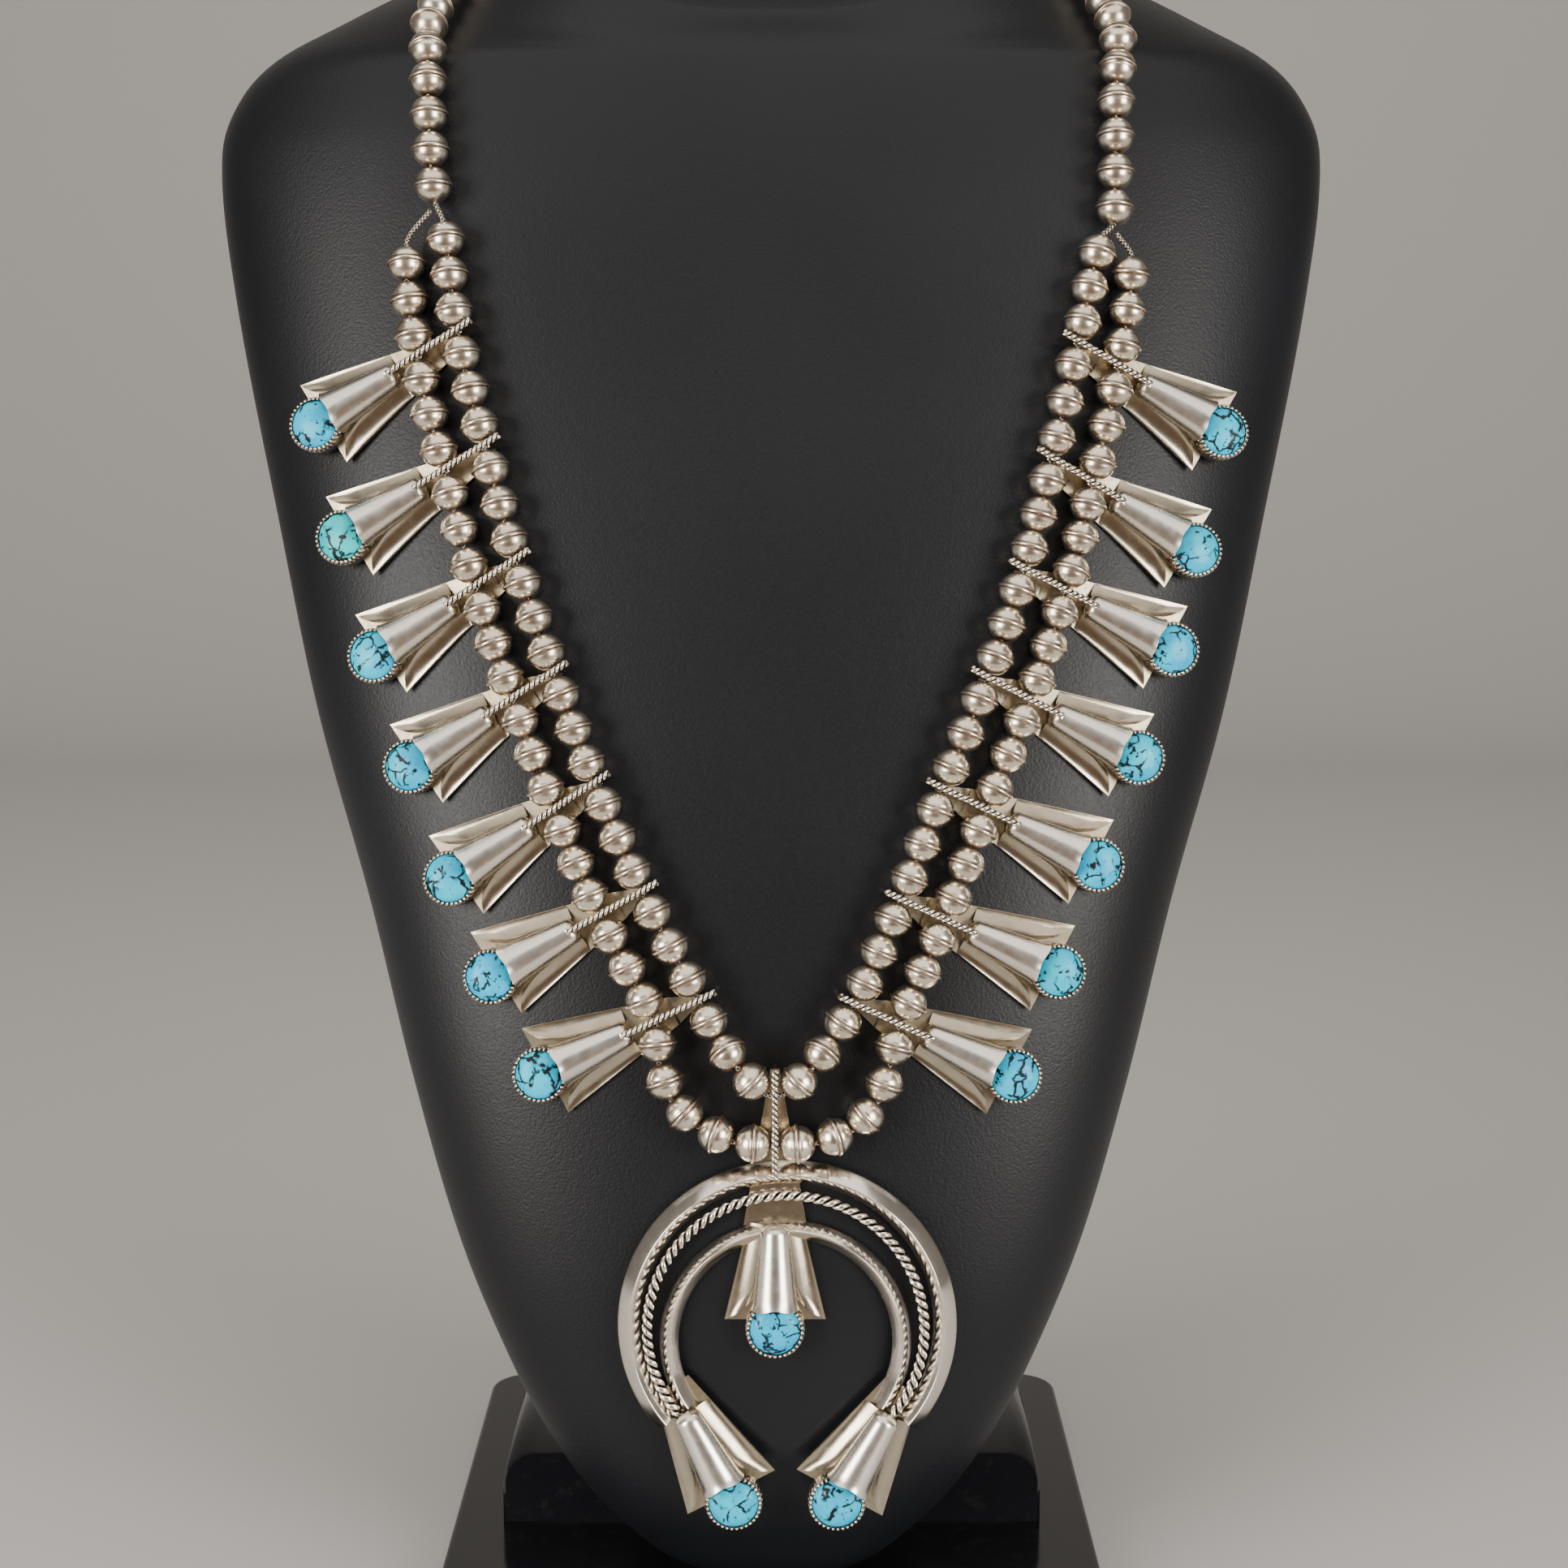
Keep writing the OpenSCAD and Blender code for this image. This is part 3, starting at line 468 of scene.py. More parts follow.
# %% Node groups for tarnish and for dents
def tarnish_and_shade_nodes():
    """Mixes a clean tone with a darker one: tarnishing in slow patches, and painted shade as far as each
    point's mark asks.
    """
    group, given, made = new_group("tarnish_and_shade", {
        "Clean": (0.8, 0.75, 0.68, 1), "Tarnished And Shaded": (0.4, 0.3, 0.22, 1), "Patches": 0.3,
        "Painted Shade": 0.8}, {"Color": "NodeSocketColor", "Mask": "NodeSocketFloat"})
    coords = object_place(group)
    patch = add_ramp(group, add_noise(group, coords, 160.0, 2.0, 0.6), 0.42, 0.72)
    speck = add_ramp(group, add_noise(group, coords, 900.0, 1.0, 0.6), 0.35, 0.7)
    # the point's mark of painted shade
    depth = add_node(group, "ShaderNodeAttribute", attribute_name="painted_shade").outputs["Fac"]
    patches = add_math(group, "MULTIPLY", patch, given["Patches"])
    painted_shade_amount = add_math(group, "MULTIPLY", depth, given["Painted Shade"])
    painted_shade_amount = add_math(group, "MULTIPLY", painted_shade_amount, add_math(group, "MULTIPLY_ADD", speck, 0.5, 0.6))
    mask = add_math(group, "MINIMUM", add_math(group, "ADD", patches, painted_shade_amount), 1.0)
    feed(group, made["Color"], add_mix(group, mask, given["Clean"], given["Tarnished And Shaded"]))
    feed(group, made["Mask"], mask)
    return group


def dent_nodes():
    """A height of shallow dents, cut by fine scratches that all run one way."""
    group, given, made = new_group("dents_and_scratches", {
        "Dent Scale": 300.0, "Dent Height": 1.0, "Scratch Height": 0.1}, {"Height": "NodeSocketFloat"})
    coords = object_place(group)
    dent = add_noise(group, coords, given["Dent Scale"], 1.5, 0.4)
    dent = add_math(group, "MULTIPLY", dent, given["Dent Height"])
    stretch = add_node(group, "ShaderNodeMapping", Vector=coords, Rotation=(0.3, 0.5, 0.6),
                       Scale=(0.12, 1.0, 1.0))
    scratch = add_ramp(group, add_noise(group, stretch.outputs[0], 5200.0, 1.0, 0.6), 0.6, 0.75)
    scratch = add_math(group, "MULTIPLY", scratch, given["Scratch Height"])
    feed(group, made["Height"], add_math(group, "SUBTRACT", dent, scratch))
    return group


tarnish_and_shade_group = tarnish_and_shade_nodes()
dents_group = dent_nodes()
print("node groups", [g.name for g in bpy.data.node_groups])


# %% Silver, in six finishes
def silver_material(name, clean, tarnished_and_shaded, roughness, dents, height, scratch, patches, painted_shade_amount, bump):
    """Polished metal whose colour and roughness follow the tarnishing and the painted shade."""
    material, tree = new_material(name, {"Metallic": 1.0})
    age = {"Clean": clean, "Tarnished And Shaded": tarnished_and_shaded, "Patches": patches, "Painted Shade": painted_shade_amount}
    tarnish_and_shade = add_node(tree, "ShaderNodeGroup", node_tree=tarnish_and_shade_group, **age).outputs
    wear = {"Dent Scale": dents, "Dent Height": height, "Scratch Height": scratch}
    relief = add_node(tree, "ShaderNodeGroup", node_tree=dents_group, **wear).outputs["Height"]
    haze = add_math(tree, "MULTIPLY", add_noise(tree, object_place(tree), 420.0, 1.0), 0.12)
    rough = add_math(tree, "MULTIPLY_ADD", tarnish_and_shade["Mask"], 0.18, haze)
    rough = add_math(tree, "ADD", rough, roughness - 0.06)
    finish_shader(tree, tarnish_and_shade["Color"], rough, relief, bump, 0.00003)
    return material


# clean tone, tone of tarnishing and painted shade, roughness, dents in a metre, their
# height, scratches' height, tarnishing in patches, strength of the painted shade, bump
SILVERS = {
    "rope": ((0.92, 0.86, 0.76, 1), (0.07, 0.045, 0.03, 1), 0.20, 300, 0.5, 0.1, 0.1, 1.1, 0.6),
    "polished": ((0.86, 0.78, 0.65, 1), (0.24, 0.15, 0.08, 1), 0.12, 150, 0.8, 0.25, 0.25, 0.85, 0.6),
    "satin": ((0.95, 0.90, 0.82, 1), (0.24, 0.15, 0.08, 1), 0.27, 160, 0.8, 0.3, 0.05, 0.8, 0.35),
    # the petal finish has a much darker clean tone than silver: painted reflection of dark surroundings, on
    # the petals and plates
    "petal": ((0.54, 0.48, 0.38, 1), (0.34, 0.28, 0.17, 1), 0.21, 150, 0.8, 0.25, 0.35, 0.85, 0.6),
    "band": ((0.93, 0.87, 0.79, 1), (0.30, 0.22, 0.15, 1), 0.17, 120, 0.6, 0.2, 0.12, 0.8, 0.3),
    "bead": ((0.91, 0.83, 0.69, 1), (0.20, 0.11, 0.07, 1), 0.25, 300, 0.7, 0.1, 0.22, 1.0, 0.3)}
silvers = [silver_material(f"{name}_silver", *row) for name, row in SILVERS.items()]
# their places in a piece's list of materials; ropes and bezels take the first one
STRIP, CONE, SHADED_SHEET, BAND, BEAD = range(1, 6)
print("silver finishes", [m.name for m in silvers])

# %% [markdown]
# ## The neck bust and its foot
#
# The bust is covered in thin black leatherette pulled smooth over a moulded body. Its
# surface is one grid over height and angle. The neck's top edge is rounded over and closed
# by a flat cap. The grain is a fine pebble in the bump, because it is far too small to
# model, and the sheen is a soft one.

# %% Leatherette with a fine grain
def grain_material(name, colour, pale, roughness, pebble, depth):
    """Dark soft plastic with a fine pebbled grain and faintly worn patches."""
    material, tree = new_material(name, {"Specular IOR Level": 0.30})
    coords = object_place(tree)
    fine = add_noise(tree, coords, pebble, 1.0, 0.6)
    worn = add_ramp(tree, add_noise(tree, coords, 9.0, 2.0, 0.55), 0.38, 0.68)
    rough = add_math(tree, "MULTIPLY_ADD", fine, 0.16, roughness)
    finish_shader(tree, add_mix(tree, worn, colour, pale), rough, fine, 0.55, depth)
    return material


leatherette = grain_material("leatherette", (0.0048, 0.0054, 0.0072, 1), (0.008, 0.009, 0.012, 1),
                             roughness=0.33, pebble=1700.0, depth=0.00012)
print("material", leatherette.name)


# %% The padded body
def bust_rings(top_round=2.2, rings=210, around=256):
    """Rings from the low tip to the neck's top, the top edge rounded over by a quarter
    circle: the last rings shrink towards their middle as they rise."""
    turn = quarter_turn(7)[1:]
    tip = np.linspace(LEVELS[0], SEAT - 0.02, 16)
    body = np.linspace(SEAT, TOP_LEVEL - top_round, rings)
    cap = np.linspace(1, 44, 8)
    level = np.concatenate([tip, body, TOP_LEVEL - top_round * (1 - np.sin(turn)), 0 * cap + TOP_LEVEL])
    inset = np.concatenate([0 * tip, 0 * body, top_round * (1 - np.cos(turn)), top_round + cap])
    points = bust_point(level[:, None], full_turn(around)[None, :])
    middle = points.mean(axis=1, keepdims=True)
    share = (1 - inset / column(HALF_WIDTH, TOP_LEVEL))[:, None, None]
    return middle + (points - middle) * share


build_piece("bust_cover", capped(bust_rings()), [leatherette], ["bust"])

# %% The foot block and the base plate
FOOT_TOP = SEAT - 0.1       # just under the bust


def circle(turn, radius=1.0):
    """Points of a circle about the origin of its plane."""
    return np.stack([np.cos(turn), np.sin(turn)], -1) * radius


def round_rectangle(width, depth, radius):
    """Outline of a rectangle with round corners, counter-clockwise, about its middle: one
    quarter circle, turned by right angles and moved to each corner in turn."""
    quarter = circle(quarter_turn(10), radius)
    outline = []
    for c, s in ((1, 0), (0, 1), (-1, 0), (0, -1)):
        corner = np.array([c - s, s + c]) * (width / 2 - radius, depth / 2 - radius)
        outline.append(quarter @ np.array([(c, s), (-s, c)]) + corner)
    return np.concatenate(outline)


def rounded_block(width, depth, radius, high, edge, middle):
    """A block whose upper edge is a quarter circle: outlines that shrink as they rise."""
    turn = quarter_turn(6)
    inset = np.concatenate([[0.6, 0, 0], edge * (1 - np.cos(turn))])
    height = np.concatenate([[0, 0.6, high - edge - 0.01], high - edge + edge * np.sin(turn)])
    rings = [round_rectangle(width - 2 * i, depth - 2 * i, max(radius - i, 0.05)) for i in inset]
    return capped(np.stack([at_height(ring + middle, h) for ring, h in zip(rings, height)]))


def foot_block(width, low, high, radius, front, depth, edge=0.7):
    """A bar from front to back whose two upper edges are round. Its end rings are drawn in
    by a small bevel."""
    arc = circle(quarter_turn(12), radius)
    right = arc + (width / 2 - radius, high - radius)
    left = arc[::-1] * (-1, 1) + (radius - width / 2, high - radius)
    section = np.concatenate([[(width / 2, low)], right, left, [(-width / 2, low)]])
    middle = section.mean(axis=0)
    rings = []
    for y, inset in ((depth, edge), (depth - edge, 0), (edge, 0), (0, edge)):
        ring = middle + (section - middle) * (1 - inset / np.abs(section - middle).max(axis=0))
        rings.append(grid(ring[:, 0], front + MIDDLE_Y + y, ring[:, 1]))
    return capped(np.stack(rings))


def gloss_material(name, colour, dusty, roughness):
    """Glossy black lacquer with dust and faint wear in its roughness."""
    material, tree = new_material(name, {})
    coords = object_place(tree)
    dust = add_ramp(tree, add_noise(tree, coords, 240.0, 5.0, 0.7), 0.55, 0.8)
    rough = add_math(tree, "MULTIPLY_ADD", dust, 0.2, roughness)
    wavy = add_noise(tree, coords, 60.0, 2.0)
    finish_shader(tree, add_mix(tree, dust, colour, dusty), rough, wavy, 0.15, 0.00005)
    return material


lacquer = gloss_material("black_lacquer", (0.008, 0.008, 0.010, 1), (0.018, 0.018, 0.020, 1), 0.12)
base_plate = rounded_block(width=154, depth=168, radius=10, high=6, edge=1.2, middle=(0, 24 + MIDDLE_Y))
foot_bar = foot_block(width=130, low=5.5, high=FOOT_TOP, radius=8, front=14, depth=76)
build_piece("foot_and_base", base_plate + foot_bar, [lacquer], ["bust_base"])

# %% [markdown]
# ## The beads
#
# Each bead is two hollow domes soldered together, so a thin raised seam runs round its
# middle. The CAD model already has every bead in place: its solids give the middle and
# the axis of each one. A finer bead is then revolved on that axis, dented a little, and
# its seam tips a few degrees, since no two beads on a cord sit the same way.

# %% Find the beads of a strand in the CAD model
def islands(obj):
    """Vertex positions of each loose solid of a mesh, in millimetres. Corners at the same
    place are welded, then the lowest label spreads along the edges until nothing changes."""
    mesh = obj.data
    points = np.empty(len(mesh.vertices) * 3)
    mesh.vertices.foreach_get("co", points)
    points = points.reshape(-1, 3) / MM
    edges = np.empty(len(mesh.edges) * 2, np.int32)
    mesh.edges.foreach_get("vertices", edges)
    _, first, same = np.unique(np.round(points, 3), axis=0, return_index=True, return_inverse=True)
    edges = same.reshape(-1)[edges.reshape(-1, 2)]
    label = np.arange(len(first))
    while True:
        low = label.copy()
        np.minimum.at(low, edges[:, 0], label[edges[:, 1]])
        np.minimum.at(low, edges[:, 1], label[edges[:, 0]])
        low = low[low]
        if (low == label).all():
            break
        label = low
    return [points[first[label == k]] for k in np.unique(label)]


def box_middle(points):
    """Middle of the box round some points."""
    return (points.min(axis=0) + points.max(axis=0)) / 2


def main_axes(points):
    """Directions in which points spread the most, less and the least."""
    return np.linalg.svd(points - points.mean(axis=0))[2]


def bead_places(node):
    """Middle and axis of each bead. The rim of its seam is farthest from its middle, so
    the plane of the rim gives the axis. The place is halfway along the bead."""
    places = []
    for points in islands(nodes[node]):
        middle = box_middle(points)
        reach = np.linalg.norm(points - middle, axis=1)
        axis = main_axes(points[reach > 0.985 * reach.max()])[2]
        across = points @ axis
        centre = middle + axis * ((across.min() + across.max()) / 2 - middle @ axis)
        places.append((centre, axis))
    return places


STRANDS = [f"beads_{strand}_{side}" for strand in ("inner", "outer", "neck") for side in ("left", "right")]
strand_places = {name: bead_places(name) for name in STRANDS}
print("beads found", {name: len(places) for name, places in strand_places.items()})

# %% Revolve a bead
HALF_BEAD = 3.68            # from its middle to the end of its dome
DOME_RADIUS, SEAM_RADIUS = 3.70, 4.25
SEAM_HALF = 0.4             # the seam reaches this far to each side of the middle


def clamp(v):
    """A value held between 0 and 1."""
    return np.clip(v, 0, 1)


def bead_profile(steps=12):
    """Half section from one pole to the other as (along, out): a short way into the hole,
    round its lip, over the dome, up the seam and down again on the other side."""
    dome = np.radians(np.linspace(9, 74, steps - 1))
    side = np.column_stack([-HALF_BEAD * np.cos(dome), 0.30 + DOME_RADIUS * np.sin(dome)])
    lip = [(-2.9, 0.80), (-3.5, 0.80), (-3.62, 0.84)]
    seam = [(-0.38, 3.84), (-0.34, 4.02), (-0.26, 4.20), (-0.10, SEAM_RADIUS), (0.0, SEAM_RADIUS)]
    half = np.concatenate([lip, side, seam])
    return np.concatenate([half, (half * (-1, 1))[-2::-1]])


def revolved(middle, axis, side, along, out, turn):
    """Points this far along an axis and out from it, turned about it from one side on."""
    return (middle + along[..., None] * axis + (out * np.cos(turn))[..., None] * side
            + (out * np.sin(turn))[..., None] * np.cross(axis, side))


def bead_lengths(places):
    """Scale of each bead along its axis, as far as its nearest neighbour leaves room."""
    centres = np.array([centre for centre, _ in places])
    apart = np.linalg.norm(centres[:, None] - centres[None], axis=2) + 99 * np.eye(len(centres))
    return np.clip(apart.min(axis=1) / 2 - 0.05, 3.6, 3.82) / HALF_BEAD


def bead_parts(places, rng, around=34):
    """Every bead of a strand. Each is tipped by a few degrees, and three slow waves round
    and along it press its domes in by a few hundredths of a millimetre. Painted shade darkens
    the poles, by a random amount, and the corners beside the seam."""
    along, out = bead_profile().T[:, :, None]
    turn = full_turn(around)[None, :]
    on_dome = np.abs(along) > SEAM_HALF
    # painted shade at the poles, where each bead meets the next, and in the corners beside the seam
    pole = clamp((np.abs(along) - 2.4) / 1.2)
    corner = np.exp(-((np.abs(along) - 0.42) / 0.17) ** 2)
    parts = []
    for (centre, axis), length in zip(places, bead_lengths(places)):
        side = unit(np.cross(axis, (0.2, 0.9, 0.1)))
        tilt = rng.normal(0, math.radians(2.4), 2)
        axis = unit(axis + tilt[0] * side + tilt[1] * np.cross(axis, side))
        side = unit(side - (side @ axis) * axis)
        phase = rng.uniform(0, 2 * math.pi, 4)
        press = (0.03 * np.sin(2 * turn + along * 0.7 + phase[0])
                 + 0.012 * np.sin(3 * turn - along + phase[1])
                 + 0.006 * np.sin(5 * turn + 1.6 * along + phase[2]))
        press = press * clamp((out - 0.9) / 2) * on_dome
        radius = np.minimum(out + press - 0.04 * on_dome, SEAM_RADIUS)
        points = revolved(centre, axis, side, along * length, radius, turn)
        pole_shade = rng.uniform(0.5, 1.1)
        parts.append(surface(points, closed_cols=True, painted_shade=clamp(pole**1.5 * pole_shade + 1.2 * corner)))
    return parts


rng = np.random.default_rng(11)
for name in STRANDS:
    strand = bead_parts(strand_places[name], rng)
    build_piece(name.replace("beads", "silver_beads"), strand, [silvers[BEAD]], [name])

# %% [markdown]
# ## The cord
#
# A foxtail cord runs through the beads. It shows only where the strands part at the
# collarbones and beside the shanks. Its path goes through both holes of every bead, and a
# smooth curve joins one bead to the next.

# %% Paths through the beads
def facing(axis, way):
    """The axis or its opposite, whichever goes the given way."""
    return axis * (1 if axis @ way > 0 else -1)


def in_order(places, start):
    """Beads of a strand from the one nearest to start, each next one the nearest left."""
    centres = np.array([centre for centre, _ in places])
    left, order, here = list(range(len(places))), [], start
    while left:
        k = left[int(np.argmin(np.linalg.norm(centres[left] - here, axis=1)))]
        left.remove(k)
        order.append(k)
        here = centres[k]
    return [places[k] for k in order]


def through_beads(places, reach=3.2):
    """Points and headings where the cord enters and leaves each bead, in order."""
    ahead = np.gradient(np.array([centre for centre, _ in places]), axis=0)
    route = []
    for (centre, axis), way in zip(places, ahead):
        axis = facing(axis, way)
        route += [(centre - reach * axis, axis), (centre + reach * axis, axis)]
    return route


def on_front(x, z, lift=5.1):
    """A place this far out from the bust's front."""
    return np.array([x, front_y(x, z), z]) + lift * front_normal(x, z)


FORKS = {"left": on_front(-71.7, 316.6), "right": on_front(73.5, 311.8)}


def from_fork(strand, side):
    """Beads of one side of a strand, from its fork on."""
    return in_order(strand_places[f"beads_{strand}_{side}"], FORKS[side])


inner = from_fork("inner", "left") + from_fork("inner", "right")[::-1]
outer = from_fork("outer", "left") + from_fork("outer", "right")[::-1]
loop = from_fork("neck", "left")[::-1] + inner + from_fork("neck", "right")
print("the cords carry", len(loop), "and", len(outer), "beads")


# %% A smooth curve and a tube along it
def smooth_path(route, steps=5):
    """Hermite curve through a route's points, headed as given, with equal steps in each
    span."""
    points, headings = (np.array(values) for values in zip(*route))
    span = np.linalg.norm(np.diff(points, axis=0), axis=1)[:, None, None]
    t = np.linspace(0, 1, steps, endpoint=False)[None, :, None]
    ends = [points[:-1, None], points[1:, None], headings[:-1, None], headings[1:, None]]
    return np.concatenate([hermite(t, span, *ends).reshape(-1, 3), points[-1:]])


def lengths_along(path):
    """Distance of each point of a path from its start, measured along it."""
    return np.concatenate([[0], np.cumsum(np.linalg.norm(np.diff(path, axis=0), axis=1))])


def carried_frames(path):
    """Two directions across a path. The first is carried on ring by ring, so that the tube
    never twists, and the second stands square to it."""
    heading = unit(np.gradient(path, axis=0))
    side = np.zeros_like(path)
    side[0] = unit(np.cross(heading[0], (0.1, 0.2, 1.0)))
    for i in range(1, len(path)):
        side[i] = unit(side[i - 1] - (side[i - 1] @ heading[i]) * heading[i])
    return side, np.cross(heading, side)


def round_rings(path, side, third, radius, turn):
    """A circle about each point of a path, in the plane of two directions there."""
    turn = turn[None, :, None]
    return path[:, None] + radius * (np.cos(turn) * side[:, None] + np.sin(turn) * third[:, None])


def tube(path, radius, sides=10):
    """A round tube closed at both ends. Its UV runs round and along it in millimetres."""
    turn = np.linspace(0, 2 * math.pi, sides + 1)
    rings = round_rings(path, *carried_frames(path), radius, turn)
    uv = np.stack(np.broadcast_arrays(turn[None, :] / (2 * math.pi), lengths_along(path)[:, None]), -1)
    return [surface(rings, uv=uv), lid(rings[-1, :-1]), lid(rings[0, :-1], flip=True)]


loop_route, outer_route = through_beads(loop), through_beads(outer)
outer_length = lengths_along(smooth_path(outer_route))[-1]
print("the outer cord runs", round(outer_length), "mm through its beads")


# %% Foxtail cord
def cord_material(name, dark, bright, link=0.9, links_round=3):
    """Fine chain links as a bump: two slanted sine waves that cross, from the UV. The same
    waves paint shade into the valleys between the links.
    """
    material, tree = new_material(name, {"Metallic": 1.0})
    along = add_node(tree, "ShaderNodeUVMap", uv_map="along").outputs["UV"]
    split = add_node(tree, "ShaderNodeSeparateXYZ", Vector=along).outputs
    waves = []
    for sign in (1, -1):
        turns = add_math(tree, "MULTIPLY", split["X"], sign * links_round * 2 * math.pi)
        phase = add_math(tree, "MULTIPLY_ADD", split["Y"], 2 * math.pi / link, turns)
        waves.append(add_math(tree, "SINE", phase))
    links = add_math(tree, "MAXIMUM", *waves)
    # painted shade in the valleys between the links
    colour = add_mix(tree, add_ramp(tree, links, -0.2, 0.7), dark, bright)
    finish_shader(tree, colour, 0.32, links, 0.9, 0.00025)
    return material


foxtail = cord_material("foxtail_cord", dark=(0.16, 0.12, 0.09, 1), bright=(0.74, 0.69, 0.62, 1))
print("material", foxtail.name)

# %% Lead the cords into the clasp and onto the forks
CORD_RADIUS = 0.6
clasp_points = islands(nodes["clasp"])[0]
clasp_middle = box_middle(clasp_points)
clasp_axis = facing(main_axes(clasp_points)[0], loop_route[0][0] - clasp_middle)


def in_clasp(*reaches):
    """Points and headings of the cord this far from the clasp's middle, along its axis."""
    return [(clasp_middle + reach * clasp_axis, clasp_axis) for reach in reaches]


left_end = (on_front(-72.6, 315.0), unit(on_front(-77.8, 308.8) - FORKS["left"]))
right_end = (on_front(74.0, 310.2), unit(FORKS["right"] - on_front(77.4, 305.1)))
loop_route = in_clasp(1.5, 7.4) + loop_route + in_clasp(-7.4, -1.5)
outer_route = [left_end] + outer_route + [right_end]
for name, route in (("main", loop_route), ("outer", outer_route)):
    cord = tube(smooth_path(route), CORD_RADIUS)
    build_piece(f"cord_{name}", cord, [foxtail], [f"thread_{name}"])

# %% [markdown]
# ## The blossoms
#
# Each blossom is soldered from sheet and wire. A pointed plate lies underneath. A half
# cone forms the front petal, and two side petals sweep up from the plate's edge and end in
# a sharp tip. The shank is a strip on edge, drilled for both strands, with a rope of two
# twisted wires on top. The bezel is a cup with a toothed rim round the stone.
#
# One blossom is worked out in its own frame, x from shank to stone and z away from the
# bust. All seventeen use it, at the places and angles of the CAD model.

# %% Twisted rope
def rope(path, normal, radius, lobe, start=0.0, sides=8, per_turn=12):
    """Two round wires twisted about a path that lies in a plane with the given normal. A
    lobe is half a turn. Each wire gets painted shade where it faces the other."""
    length = lengths_along(path)
    s = np.linspace(0, length[-1], int(round(length[-1] / (2 * lobe) * per_turn)) + 1)
    path = np.stack([np.interp(s, length, path[:, k]) for k in range(3)], -1)
    normal = np.broadcast_to(np.asarray(normal, float), path.shape)
    across = np.cross(normal, unit(np.gradient(path, axis=0)))
    turn = full_turn(sides)
    parts = []
    for strand in (0, math.pi):
        phase = (math.pi * s / lobe + start + strand)[:, None]
        away = np.cos(phase) * normal + np.sin(phase) * across
        centre = path + radius / 2 * away
        along = unit(np.gradient(centre, axis=0))
        away = unit(away - np.sum(away * along, axis=1, keepdims=True) * along)
        rings = round_rings(centre, away, np.cross(along, away), radius / 2, turn)
        # painted shade where the two wires face each other
        parts += capped(rings, painted_shade=clamp(1 - 2 * np.cos(turn)))
    return parts


sample = rope(np.array([(0, 0, 0), (10, 0, 0)], float), (0, 0, 1), 0.8, 1.3)
print("10 mm of rope has", face_count(sample), "faces")


# %% The shank strip
def hole_cell(x0, x1, z0, z1, x, z, radius, low, high, count=24):
    """A rectangle with a round hole, between two heights: rings round the hole, one on
    its edge and one on the rectangle."""
    way = circle(full_turn(count))
    moves = np.abs(way) > 1e-6
    sides = np.where(way > 0, (x1 - x, z1 - z), (x0 - x, z0 - z))
    step = np.min(np.where(moves, sides / np.where(moves, way, 1), 1e6), axis=1)
    hole = (x, z) + radius * way
    edge = (x, z) + step[:, None] * way
    corners = [(x0, z0), (x1, z0), (x1, z1), (x0, z1)]
    edge[[np.argmin(np.hypot(*(edge - corner).T)) for corner in corners]] = corners
    rings = [at_height(outline, h) for outline, h in ((edge, high), (hole, high), (hole, low), (edge, low))]
    return [surface(np.stack(rings), closed_rows=True, closed_cols=True, smooth=False)]


def strip(length, holes, thickness=0.7, low=0.5, high=6.3, hole_z=5.1, hole_r=1.0):
    """The shank on edge: cells with a hole where a strand passes, plain bars between. Its
    free end is rounded."""
    sides = (-thickness / 2, thickness / 2)
    edges = sorted([-length] + [d - hole for hole in holes for d in (-2.0, 2.0)] + [0.5])
    parts = []
    for x0, x1 in zip(edges[:-1], edges[1:]):
        inside = [-hole for hole in holes if x0 < -hole < x1]
        if inside:
            parts += hole_cell(x0, x1, low, high, inside[0], hole_z, hole_r, *sides)
            continue
        outline = [(x0, low), (x1, low), (x1, high), (x0, high)]
        if x0 == -length:
            outline = ([(x0, low + 0.8), (x0 + 0.25, low + 0.25), (x0 + 0.8, low)] + outline[1:3]
                       + [(x0 + 0.3, high), (x0, high - 0.3)])
        parts += slab(outline, *sides)
    return placed(parts, np.zeros(3), (1, 0, 0), (0, 0, 1), (0, -1, 0))


def shank(length, holes, start=0.0):
    """Strip and rope together. The rope is a little longer and dips down onto the cone."""
    x = np.linspace(-length, 1.9, 60)
    line = grid(x, 0, 6.7 - 0.35 * clamp((x + 1.5) / 3.4) ** 2)
    return finished(strip(length, holes), STRIP) + rope(line, (0, 0, 1), 0.80, 1.3, start)


SHANK_LENGTH, HOLES = 20.3, [5.8, 16.2]
print("a shank has", face_count(shank(SHANK_LENGTH, HOLES)), "faces")

# %% Petals
PLATE_HALF = 5.4            # half width of the plate at x = 0, where the petals begin


